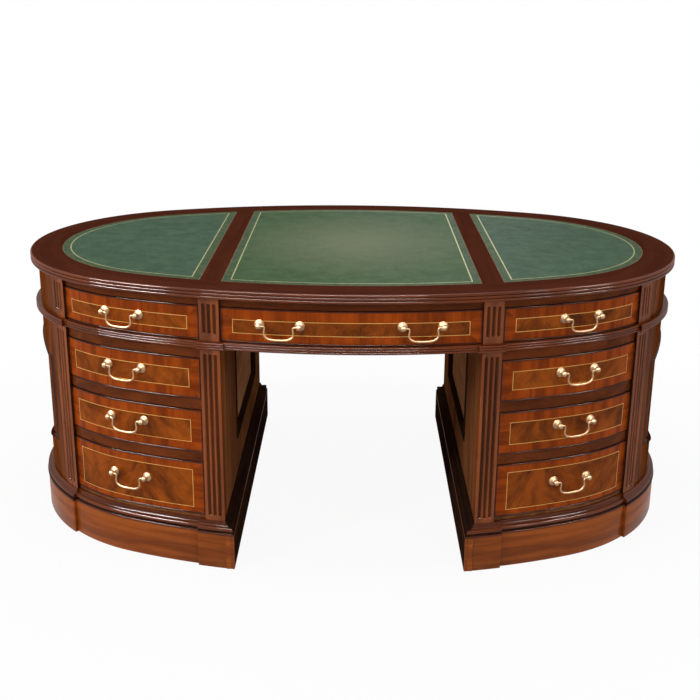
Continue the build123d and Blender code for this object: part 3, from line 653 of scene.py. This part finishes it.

# %% [markdown]
# ## Leather, gold and brass
# The writing leathers are hand-coloured: cloudy green with a fine pebble grain, and the centre leather
# has a painted sheen, paler towards its middle. A gold line is tooled inside the edge, with a stamped
# band outside it. The handles are cast brass, lacquered, a little pink, and dull in places.

# %% Leather


def leather(name, deep, mid, sheen_colour, sheen_share):
    finish, tree = new_tree(bpy.data.materials, name)
    place = place_of(tree)
    speck = mottle(tree, place, (85, 110, 85), 0.3, 0.7, 4.0, 0.7)
    cloud = mottle(tree, place, 22.0, 0.32, 0.68, roughness=0.6)
    colour = mix_colours(tree, times(tree, speck, 0.6, times(tree, cloud, 0.4)), deep, mid)
    away = length_of(tree, stretch(tree, place, (2.6, 2.2, 0)))
    # Painted sheen: mixed paler towards the desk's middle, by the share given.
    painted_sheen = times(tree, spread(tree, away, 0.15, 1.0, sheen_share, 0.0),
                spread(tree, speck, 0.0, 1.0, 0.6, 1.0))
    pebble = put(tree, "TexVoronoi", {"Vector": place, "Scale": 700.0}).outputs["Distance"]
    surface(tree, mix_colours(tree, painted_sheen, colour, sheen_colour), spread(tree, speck, 0.0, 1.0, 0.42, 0.55),
            times(tree, speck, 0.6, pebble), 0.35, 0.0004, 0.01)
    return finish


green_leather = leather("green_leather", (0.020, 0.054, 0.030), (0.074, 0.128, 0.075),
                        (0.13, 0.165, 0.10), 0.0)
# Only the centre leather gets the painted sheen.
sheen_painted_leather = leather("green_leather_with_painted_sheen", (0.020, 0.052, 0.018), (0.070, 0.125, 0.050),
                       (0.165, 0.18, 0.105), 0.8)
tooled_leather, tree = new_tree(bpy.data.materials, "tooled_leather")
place = place_of(tree)
stamps = put(tree, "TexVoronoi", {"Vector": place, "Scale": 210.0, "Randomness": 0.25})
stamp = times(tree, spread(tree, stamps.outputs["Distance"], 0.25, 0.5, 1.0, 0.0),
              mottle(tree, place, 40.0, 0.35, 0.6))
surface(tree, mix_colours(tree, stamp, (0.035, 0.075, 0.035), (0.14, 0.13, 0.055)),
        spread(tree, stamp, 0.0, 1.0, 0.5, 0.36), stamp, 0.3, 0.0003, 0.01)
print("leather ready")

# %% Gold and brass


def metal(name, bright, dull, metallic, low, high, scale):
    """Cast or leafed metal, duller where it is handled less."""
    finish, tree = new_tree(bpy.data.materials, name)
    patina = mottle(tree, place_of(tree), scale, 0.35, 0.7, 4.0, 0.6)
    surface(tree, mix_colours(tree, patina, bright, dull), spread(tree, patina, 0.0, 1.0, low, high),
            patina, 0.15, 0.0003, metallic / 2, Metallic=metallic)
    return finish


cut_edge = metal("worn_leather_edge", (0.25, 0.18, 0.11), (0.10, 0.078, 0.045), 0.0, 0.6, 0.8, 60.0)
gold_line = metal("gold_tooling", (0.40, 0.38, 0.15), (0.20, 0.23, 0.09), 0.2, 0.4, 0.55, 60.0)
brass = metal("lacquered_brass", (0.46, 0.29, 0.165), (0.26, 0.155, 0.08), 1.0, 0.42, 0.56, 90.0)
print("gold and brass ready")

# %% [markdown]
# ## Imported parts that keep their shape
# Rails, cheeks, pilasters and fluted blocks are already right, so they only get their wood. A board's
# grain runs along it: upright on cheeks and pilasters, along the wall on rails, and front to back on
# the pedestals' bottoms and shelves.

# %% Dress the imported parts
dressed = {
    wood["rail"]: ["frieze_carcass", "drawer_rails"],
    wood["upright"]: ["frieze_end_panels", "left_end_panel", "right_end_panel"],
    wood["fluted"]: ["frieze_blocks", "pedestal_pilasters"],
    wood["inside"]: ["left_pedestal_carcass", "right_pedestal_carcass"],
    wood["shelf"]: ["cupboard_shelves"],
    brass: ["door_hinges", "left_door_fittings", "right_door_fittings"],
}
for finish, names in dressed.items():
    for name in names:
        for material_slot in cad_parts[name].material_slots:
            material_slot.material = finish
    print(finish.name, "on", ", ".join(names))

# %% [markdown]
# ## The top
# The real top is a board with a solid, reeded edge. Its edge profile is drawn out along half the oval
# and bent, then mirrored. The middle is a plain slab, and two cross bands part the leathers.

# %% Reeds and mouldings
desk_height, top_thickness, leather_border = 0.785, 0.025, 0.091
bed = desk_height - 0.0012


def reed_points(low, high, reeds, steps=8):
    """Down the face of a stack of half-round reeds, as depth and height."""
    radius = (high - low) / reeds / 2
    points = [(radius, high)]
    for number in range(reeds):
        middle = high - (2 * number + 1) * radius
        for step in range(1, steps + 1):
            angle = pi * (0.5 - step / steps)
            points.append((radius * (1 - cos(angle)), middle + radius * sin(angle)))
    return points


def hollows(profile):
    """How sharply a profile turns inwards at or beside each point: 1 in a tight corner."""
    sharp = []
    for before, point, after in zip(profile[-1:] + profile, profile, profile[1:] + profile[:1]):
        way_in, way_out = Vector(point) - Vector(before), Vector(after) - Vector(point)
        sharp.append(min(1.0, max(0.0, way_in.angle_signed(way_out) / 0.9)))
    beside = zip(sharp[-1:] + sharp, sharp, sharp[1:] + sharp[:1])
    return [max(here, 0.7 * before, 0.7 * after) for before, here, after in beside]


def draw_out(profile, start, end, step=0.012):
    """Draws a profile out along the run, as a maker runs a moulding, and lays its grain along it."""
    bm = bmesh.new()
    hollow = bm.verts.layers.float.new("hollow")
    line = [bm.verts.new((start, depth, height)) for depth, height in profile]
    for vertex, sharp in zip(line, hollows(profile)):
        vertex[hollow] = sharp
    faces = [bm.faces.new(line)]
    steps = max(1, round((end - start) / step))
    for _ in range(steps):
        faces, moved = draw_faces(bm, faces[:1], ((end - start) / steps, 0, 0))
    lay_grain(bm, 0, 2, girth=True)
    return bm


def oval_sheet(points, low, high):
    """Flat sheet over an outline in plan, given its thickness."""
    bm = bmesh.new()
    draw_faces(bm, [bm.faces.new([bm.verts.new((x, y, high)) for x, y in points])], (0, 0, low - high))
    return bm


def spaced(start, end, step=0.012, first=0.0):
    """Even steps from start to end. The first and last may be longer, to leave room for a corner."""
    length = end - start - 2 * first
    steps = max(2, round(length / step))
    places = [start + first + length * number / steps for number in range(steps + 1)]
    return [start] + places + [end] if first else places


def oval_run(places, inset):
    """Points in plan along the wall."""
    return [wall_point(turn_at(place, inset), inset) for place in places]


print("a moulding of three reeds has", len(reed_points(0, 1, 3)), "points")

# %% Top board
underside, reed_depth, slab_inset, edge_depth = desk_height - top_thickness, 0.0045, 0.12, 0.125
band_low, band_high = 0.339, 0.396
edge_profile = reed_points(underside, desk_height, 3)
edge_profile += [(edge_depth, underside), (edge_depth, bed), (leather_border, bed),
                 (leather_border, desk_height)]
top_bm = draw_out(edge_profile, 0, half_round(0))
paint([face for face in top_bm.faces if face.calc_center_median().y < reed_depth], 1)
bend(top_bm, 0)
mirror_too(top_bm, "X")
slab_run = half_round(slab_inset)
slab_outline = oval_run(spaced(-slab_run, slab_run), slab_inset)[:-1]
slab = oval_sheet(slab_outline, underside + 0.0003, bed)
lay_grain(slab, 0, 1)
add_part(top_bm, slab)
for side in (-1, 1):
    places = [band_low + (band_high - band_low) * number / 4 for number in range(5)]
    near = [(side * x, front_y(x, leather_border - 0.001)) for x in places]
    band = oval_sheet(near + [(x, -y) for x, y in reversed(near)], bed - 0.002, desk_height)
    lay_grain(band, 1, 0)
    add_part(top_bm, band)
top_board = finish_piece("top_board_with_reeds", top_bm, [wood["top"], wood["moulding"]], "top_board")
print("top board", len(top_board.data.polygons), "faces")

# %% [markdown]
# Each leather is one sheet. Its tooling is made by insetting its face again and again, so that each
# line keeps an even distance from the edge, just as the tooling wheel does.

# %% Leathers
shrink, corner_room = 0.0004, 0.037
edge_inset = leather_border + shrink


def leather_sheet(name, outlines, field, node):
    bm = bmesh.new()
    for outline in outlines:
        sheet = oval_sheet(outline, bed, desk_height + 0.0001)
        face = face_at(sheet, max, 2)
        for width, number in ((0.0024, 3), (0.0198, 1), (0.0034, 2)):
            paint(inset_face(sheet, face, width), number)
        add_part(bm, sheet)
    finishes = [field, tooled_leather, gold_line, cut_edge]
    finish_piece(name, bm, finishes, node, slot="green_leather")


places = spaced(shrink - band_low, band_low - shrink, first=corner_room)
near = [(x, front_y(x, edge_inset)) for x in places]
centre_outline = near + [(x, -y) for x, y in reversed(near)]
leather_sheet("centre_writing_leather", [centre_outline], sheen_painted_leather, "centre_leather")
start_run = run_to_x(band_high + shrink, edge_inset)
places = spaced(start_run, half_round(edge_inset) - start_run, first=corner_room)
right_outline = oval_run(places, edge_inset)
left_outline = [(-x, y) for x, y in reversed(right_outline)]
leather_sheet("side_writing_leathers", [right_outline, left_outline], green_leather,
              "side_leathers")
print("three leathers with gold lines")

# %% [markdown]
# ## Mouldings and plinths
# The frieze stands on a moulding of three reeds that steps forward under the fluted blocks and round
# the ends. The plinth's moulding has a hollow, a round and a small bead, and is mitred round to the
# knee hole.

# %% Frieze moulding
frieze_low, frieze_drawer_low, projection = 0.6225, 0.642, 0.012
narrow, wide = drawer_inset - projection, pilaster_inset - projection
end_break = turn_to_x(0.785, pilaster_inset)
block_start, block_end = turn_to_x(0.3285, wide), turn_to_x(0.4005, wide)


def moulded(profile, inset, start, end):
    """Moulding between two turns of the wall."""
    bm = draw_out(profile, run_to_turn(start, inset), run_to_turn(end, inset))
    bend(bm, inset)
    return bm


frieze_bm = bmesh.new()
for inset, start, end in ((narrow, 0, block_start), (wide, block_start, block_end),
                          (narrow, block_end, end_break), (wide, end_break, pi / 2)):
    back = rail_inset - inset + 0.004
    profile = reed_points(frieze_low, frieze_drawer_low, 3)
    profile += [(back, frieze_low), (back, frieze_drawer_low)]
    add_part(frieze_bm, moulded(profile, inset, start, end))
mirror_too(frieze_bm, "XY")
finish_piece("frieze_reeded_moulding", frieze_bm, [wood["moulding"]], "frieze_moulding")
print("frieze moulding made")

# %% Plinth moulding
plinth_height, moulding_height = 0.098, 0.035
knee_half, plinth_knee_half = 0.338, 0.312
plinth_inset, plinth_step = 0.002, 0.009


def arc_points(start, middle, end, steps=6):
    """Points on the arc through three points, without the first. Complex numbers stand for points."""
    start, middle, end = complex(*start), complex(*middle), complex(*end)
    share = (end - start) / (middle - start)
    centre = start + (middle - start) * (share - abs(share)**2) / (2j * share.imag)
    first = cmath.phase(start - centre)
    turn = (cmath.phase(end - centre) - first) % (2 * pi)
    if (cmath.phase(middle - centre) - first) % (2 * pi) > turn:
        turn -= 2 * pi
    radius = abs(start - centre)
    places = [centre + cmath.rect(radius, first + turn * n / steps) for n in range(1, steps + 1)]
    return [(place.real, place.imag) for place in places]


def plinth_profile(reach, back):
    """Depth and height down the moulding's face, then up its back. Two places in a step make an arc."""
    steps = [[(0.0, 1.0)], [(0.14, 1.0)], [(0.14, 0.9)], [(0.26, 0.72), (0.66, 0.62)],
             [(0.88, 0.45), (0.66, 0.28)], [(0.87, 0.28)], [(0.87, 0.2)], [(1.0, 0.1), (0.87, 0.0)]]
    points = []
    for step in steps:
        places = [(reach * (1 - out), plinth_height + moulding_height * rise) for out, rise in step]
        points += arc_points(points[-1], *places) if len(places) > 1 else places
    return points + [(back, plinth_height), (back, plinth_height + moulding_height)]


def cut_to(bm, place, away):
    """Cuts a piece at an upright plane and closes the cut."""
    cut = bmesh.ops.bisect_plane(bm, geom=everything(bm), dist=1e-7, plane_co=place, plane_no=away,
                                 clear_outer=True)["geom_cut"]
    bmesh.ops.edgeloop_fill(bm, edges=only(bmesh.types.BMEdge, cut))


corner = Vector((*wall_point(turn_to_x(plinth_knee_half, 0), 0), 0))
inner_corner = Vector((*wall_point(turn_to_x(knee_half, pilaster_inset), pilaster_inset), 0))
mitre = (inner_corner - corner).normalized()
mitre_side = Vector((-mitre.y, mitre.x, 0))
front_break = turn_to_x(0.4135, plinth_inset)
plinth_bm = bmesh.new()
for inset, start, end in ((0, turn_to_x(0.27, 0), front_break), (plinth_step, front_break, end_break),
                          (0, end_break, pi / 2)):
    length = moulded(plinth_profile(pilaster_inset, 0.042), inset, start, end)
    if end == front_break:
        cut_to(length, corner, mitre_side)
    add_part(plinth_bm, length)
knee_length = draw_out(plinth_profile(knee_half - plinth_knee_half, 0.04), 0, 0.66, 0.1)
quarter_turn = Matrix.Rotation(-pi / 2, 3, "Z")
bmesh.ops.rotate(knee_length, verts=knee_length.verts, cent=(0, 0, 0), matrix=quarter_turn)
bmesh.ops.translate(knee_length, verts=knee_length.verts, vec=(plinth_knee_half, 0, 0))
cut_to(knee_length, corner, -mitre_side)
paint(knee_length.faces, 1)
add_part(plinth_bm, knee_length)
mirror_too(plinth_bm, "XY")
finish_piece("plinth_moulded_caps", plinth_bm, [wood["moulding"], wood["shaded"]],
             "plinth_mouldings")
print("plinth mouldings made")

# %% [markdown]
# The plinth boards stand just behind the moulding's lower edge. They step forward below the
# pilasters, as the moulding does, and their ends are eased so that the steps catch the light.

# %% Plinth boards
bearer_width, board_ease = 0.022, 0.0008
boards_bm = bmesh.new()
for inset, start, end, thickness in (
        (plinth_inset, turn_to_x(0.3125, plinth_inset), front_break, 0.031),
        (plinth_inset + plinth_step, front_break, end_break, 0.022),
        (plinth_inset, end_break, pi - end_break, 0.031)):
    length = board(run_to_turn(start, inset), run_to_turn(end, inset), 0, thickness,
                   0, plinth_height, board_ease)
    slice_along(length, 0.015)
    lay_grain(length, 0, 2)
    bend(length, inset, square=end == front_break)
    if end <= pi / 2:
        mirror_too(length, "Y")
    add_part(boards_bm, length)
knee_front = front_y(plinth_knee_half, 0.004)
knee_board = board(plinth_knee_half, 0.334, knee_front, -knee_front, 0, plinth_height, board_ease)
lay_grain(knee_board, 1, 2)
paint([face_at(knee_board, min, 0)], 1)
add_part(boards_bm, knee_board)
for x_low in (0.514, 0.716):
    x_high = x_low + bearer_width
    reach = -front_y(x_high, 0.033)
    bearer = board(x_low, x_high, -reach, reach, 0, plinth_height, 0.001)
    lay_grain(bearer, 1, 2)
    add_part(boards_bm, bearer)
mirror_too(boards_bm, "X")
finish_piece("plinth_board_set", boards_bm, [wood["plinth"], wood["shaded"]], "plinth_boards")
print("plinth boards made")

# %% [markdown]
# ## Curved ends
# Each end has a sunk field with shoulders and an arched head and foot, framed by a rounded bead. The
# outline is one face. Insetting it step by step, and moving each new edge out or in, turns the bead.

# %% End fields
end_inset, sunk, proud = 0.021, 0.010, 0.001
bead_steps = [(0.0012, -0.0012), (0.0014, -0.0032), (0.0024, -0.0040), (0.0024, -0.0036),
              (0.0020, -0.0020), (0.0012, -0.0002), (0.0010, -0.0006), (0.0016, 0.0030),
              (0.0008, 0.0065)]


def turn_profile(bm, face, steps, axis):
    """Insets a face step by step, and sets each new edge at its own place along an axis."""
    for width, place in steps:
        inset_face(bm, face, width)
        for vertex in face.verts:
            vertex.co[axis] = place
    paint([face], 1)


def field_outline(middle):
    """Outline of the bead's outer edge, as run and height."""
    radius = end_radius - end_inset
    half, neck, low, high, rise, steps = 0.266, 0.236, 0.243, 0.507, 0.050, 30
    points = [(half, low), (half, high), (neck, high)]
    points += arc_points((neck, high), (0, high + rise), (-neck, high), steps)
    points += [(-half, high), (-half, low), (-neck, low)]
    points += arc_points((-neck, low), (0, low - rise), (neck, low), steps)
    return [(middle + radius * asin(x / radius), height) for x, height in points]


fields_bm = bmesh.new()
outline = field_outline(half_round(end_inset) / 2)
face = fields_bm.faces.new([fields_bm.verts.new((run, sunk, height)) for run, height in outline])
face = draw_faces(fields_bm, [face], (0, proud - sunk, 0))[0][0]
lay_grain(fields_bm, 0, 2)
turn_profile(fields_bm, face, bead_steps, 1)
lay_grain(fields_bm, 2, 0, [face])
slice_along(fields_bm)
bend(fields_bm, end_inset)
mirror_too(fields_bm, "X")
finish_piece("end_fields_with_beads", fields_bm, [wood["bead"], field_veneer],
             "end_panel_beads", crease=50)
print("end fields made")

# %% [markdown]
# The knee hole's sides have a sunk panel. A small raised moulding runs round its recess, and its
# slope is the same inset face again, this time on a flat board.

# %% Knee-hole panels
panels_bm = board(0.3338, 0.3505, -0.2255, 0.3585, 0.2355, 0.5495, 0.0012)
panel_steps = ((0.0030, 0.3334), (0.0030, 0.3345), (0.0060, 0.3420), (0.0020, 0.3485))
turn_profile(panels_bm, face_at(panels_bm, min, 0), panel_steps, 0)
lay_grain(panels_bm, 1, 2)
mirror_too(panels_bm, "X")
# The panel's moulding takes the painted shade, and its face the painted light.
finish_piece("knee_hole_panels", panels_bm, [wood["shaded"], wood["panel"]])
print("knee-hole panels made")

# %% [markdown]
# ## Drawers
# A front is one board whose face is inset four times: the cockbead, the crossbanding, the boxwood
# line and the flame field. The bead's ring is drawn out and rounded. Side pieces of the crossbanding
# have their grain level and the others upright, so that it always points outwards. Behind the front
# are oak sides, a back and a bottom, which run on to the bowed front's inner face.

# %% Bowed fronts
gap, front_thickness, bead_width, bead_projection = 0.001, 0.022, 0.004, 0.0025
line_width, line_side_margin = 0.0014, 0.0335


def bowed_front(x_low, x_high, low, high, margin, drop, sheet):
    """Front between two upright planes. The line has its own margin, and sits lower by drop."""
    start, end = run_to_x(x_low, drawer_inset), run_to_x(x_high, drawer_inset)
    bm = board(start, end, 0, front_thickness, low, high)
    lay_grain(bm, 0, 2)
    face = face_at(bm, min, 1)
    widths = (bead_width, margin - bead_width, line_width)
    bead, band, line = [inset_face(bm, face, width) for width in widths]
    for vertex in {vertex for part in line for vertex in part.verts}:
        vertex.co.x += (line_side_margin - margin) * (1 if vertex.co.x < (start + end) / 2 else -1)
        vertex.co.z -= drop
    lay_grain(bm, 0, 2, bead + line)
    for part in band:
        (left, right), (foot, head) = span(part.verts, 0), span(part.verts, 2)
        lay_grain(bm, *((0, 2) if head - foot > right - left else (2, 0)), [part])
    for number, faces in enumerate((band, line, [face]), 1):
        paint(faces, number)
    lay_grain(bm, 2, 0, [face], (sheet * 0.013 + (start + end) / 2, 0, low - sheet * 1.37))
    proud = draw_faces(bm, bead, (0, -bead_projection, 0))[1]
    rims = []
    for edge in {edge for vertex in proud for edge in vertex.link_edges}:
        one, other = edge.verts
        way = one.co - other.co
        if one in proud and other in proud and min(abs(way.x), abs(way.z)) < 1e-6:
            rims.append(edge)
    ease(bm, rims, 0.0016, 3)
    slice_along(bm)
    bend(bm, drawer_inset, square=True)
    return bm


def meet_front(bm):
    """Runs a board's front end on to the bowed front's inner face."""
    slice_along(bm, 0.02)
    middle = sum(span(bm.verts, 1)) / 2
    for vertex in bm.verts:
        if vertex.co.y < middle:
            vertex.co.y = front_y(vertex.co.x, drawer_inset + front_thickness) - 0.001


def drawer_box(x_low, x_high, low, high):
    """Sides, bottom and back of lining oak."""
    foot, head, back, back_inner = low + gap, high - 0.005, -0.022, -0.032
    outer_low, outer_high = x_low + 0.003, x_high - 0.003
    inner_low, inner_high = outer_low + 0.012, outer_high - 0.012
    whole = bmesh.new()
    for start, end, front, rear, bottom, top, across in (
            (outer_low, inner_low, -0.2, back, foot, head, 2),
            (inner_high, outer_high, -0.2, back, foot, head, 2),
            (inner_low, inner_high, -0.2, back_inner, foot + 0.008, foot + 0.014, 0),
            (inner_low, inner_high, back_inner, back, foot, head, 2)):
        part = board(start, end, front, rear, bottom, top)
        if front == back_inner:
            lay_grain(part, 0, across)
        else:
            meet_front(part)
            lay_grain(part, 1, across)
        add_part(whole, part)
    paint(whole.faces, 4)
    return whole


drawer_finishes = [wood["bead"], wood["crossband"], boxwood, flame_veneer, oak]
levels = {"frieze": (0.642, 0.736, 0.0275, 0.003), "upper": (0.477, 0.593, 0.031, 0.001),
          "middle": (0.3255, 0.448, 0.0285, 0.002), "lower": (0.1425, 0.298, 0.0215, 0.003)}
drawers = [("front_centre_frieze", "frieze", -0.338, 0.338, False, False),
           ("back_centre_frieze", "frieze", -0.338, 0.338, False, True)]
for side in ("right", "left"):
    left = side == "left"
    drawers += [(f"front_{side}_{name}", name, 0.391, 0.785, left, False) for name in levels]
    drawers.append((f"back_{side}_frieze", "frieze", 0.391, 0.785, left, True))
for sheet, (body, level_name, x_low, x_high, left, back) in enumerate(drawers):
    low, high, margin, drop = levels[level_name]
    edges = (x_low + gap, x_high - gap, low + gap, high - gap)
    drawer_bm = bowed_front(*edges, margin, drop, sheet)
    add_part(drawer_bm, drawer_box(x_low, x_high, low, high))
    flip(drawer_bm, left, back)
    finish_piece(f"{body}_front_and_box", drawer_bm, drawer_finishes, f"{body}_drawer", body=body,
                 crease=40)
print(len(drawers), "drawers made")

# %% Cupboard doors
for side, sheet in (("right", 20), ("left", 23)):
    door_bm = bowed_front(0.392, 0.782, 0.1435, 0.592, line_side_margin, 0.0, sheet)
    flip(door_bm, side == "left", True)
    door = f"{side}_door"
    finish_piece(door + "_veneered", door_bm, drawer_finishes[:4], door, body=door, crease=40)
print("two doors made")

# %% [markdown]
# ## Handles
# A post is turned: its outline is spun about its own axis, with a domed rosette, a thin stem and a
# ball. The bail is cast, thin at its necks and thicker along the bar, so it is a curve whose radius
# changes from point to point. Each bail rides on its own body and swings in the posts.

# %% Turned posts
post_half, stand_off, ball_radius, stem_radius = 0.052, 0.017, 0.0075, 0.0045


def turned(outline, steps=36):
    """Spins an outline of radius and reach about the axis that points out of the drawer."""
    bm = bmesh.new()
    line = [bm.verts.new((radius, -reach, 0)) for radius, reach in outline]
    edges = [bm.edges.new(pair) for pair in zip(line, line[1:])]
    bmesh.ops.spin(bm, geom=line + edges, cent=(0, 0, 0), axis=(0, 1, 0), angle=2 * pi,
                   steps=steps, use_merge=True)
    bmesh.ops.remove_doubles(bm, verts=bm.verts, dist=1e-6)
    return bm


def post_outline(steps=10):
    """Rosette, stem and ball, from the back to the tip."""
    outline = [(0, -0.002), (0.0128, -0.002), (0.0130, 0.0006), (0.0127, 0.0014), (0.0118, 0.0018),
               (0.0110, 0.0019), (0.0106, 0.0026), (0.0096, 0.0036), (0.0082, 0.0045),
               (0.0066, 0.0053), (0.0054, 0.0064), (0.0047, 0.0078), (stem_radius, 0.0095)]
    first = asin(stem_radius / ball_radius)
    for number in range(steps):
        angle = first + (pi - first) * number / steps
        outline.append((ball_radius * sin(angle), stand_off - ball_radius * cos(angle)))
    return outline + [(0, stand_off + ball_radius)]


def hang(bm, turn, height):
    """Sets a fitting on the drawer front, facing straight out of its curve."""
    turned_way = Matrix.Rotation(turn, 3, "Z")
    bmesh.ops.rotate(bm, verts=bm.verts, cent=(0, 0, 0), matrix=turned_way)
    bmesh.ops.translate(bm, verts=bm.verts, vec=(*wall_point(turn, drawer_inset), height))


def handle_posts(turn, height):
    whole = bmesh.new()
    for side in (-1, 1):
        part = turned(post_outline())
        bmesh.ops.translate(part, verts=part.verts, vec=(side * post_half, 0, 0))
        add_part(whole, part)
    hang(whole, turn, height)
    return whole


print("a post's outline has", len(post_outline()), "points")

# %% Swan-neck bails


def bail(turn, height):
    half = [(0.0548, 0.0, 0.0024), (0.047, 0.0, 0.0024), (0.0395, 0.0, 0.0023),
            (0.0362, -0.003, 0.0022), (0.0365, -0.0085, 0.0022), (0.038, -0.0165, 0.0024),
            (0.0372, -0.0245, 0.0026), (0.031, -0.0315, 0.0028), (0.020, -0.0348, 0.0030),
            (0.008, -0.0356, 0.0031)]
    route = [(-x, z, r) for x, z, r in half] + half[::-1]
    shape = bpy.data.curves.new("bail_line", "CURVE")
    shape.dimensions, shape.bevel_depth, shape.bevel_resolution = "3D", 1.0, 5
    shape.use_fill_caps, shape.resolution_u = True, 6
    line = shape.splines.new("NURBS")
    line.points.add(len(route) - 1)
    for point, (x, z, radius) in zip(line.points, route):
        point.co, point.radius = (x, -stand_off, z, 1), radius
    line.order_u, line.use_endpoint_u = 3, True
    model = bpy.data.objects.new("bail_line", shape)
    mesh = bpy.data.meshes.new_from_object(model)
    bm = bmesh.new()
    bm.from_mesh(mesh)
    bpy.data.objects.remove(model)
    bpy.data.curves.remove(shape)
    bpy.data.meshes.remove(mesh)
    hang(bm, turn, height)
    return bm


for body, level_name, x_low, x_high, left, back in drawers:
    low, high, margin, drop = levels[level_name]
    height = (low + high) / 2 + (0.0055 if level_name == "frieze" else 0.011)
    centre = "centre" in body
    turn = turn_to_x(0.182 if centre else 0.605, drawer_inset)
    posts_bm = handle_posts(turn, height)
    if centre:
        mirror_too(posts_bm, "X")
    flip(posts_bm, left, back)
    finish_piece(f"{body}_turned_posts", posts_bm, [brass], f"{body}_posts", body=body,
                 slot="brass", crease=50)
    for end in ("_right", "_left") if centre else ("",):
        ring = f"{body}_bail{end}"
        bail_bm = bail(turn, height)
        flip(bail_bm, left or end == "_left", back)
        finish_piece(f"{ring}_swan_neck", bail_bm, [brass], ring, body=ring, slot="brass", crease=60)
print("handles hung")
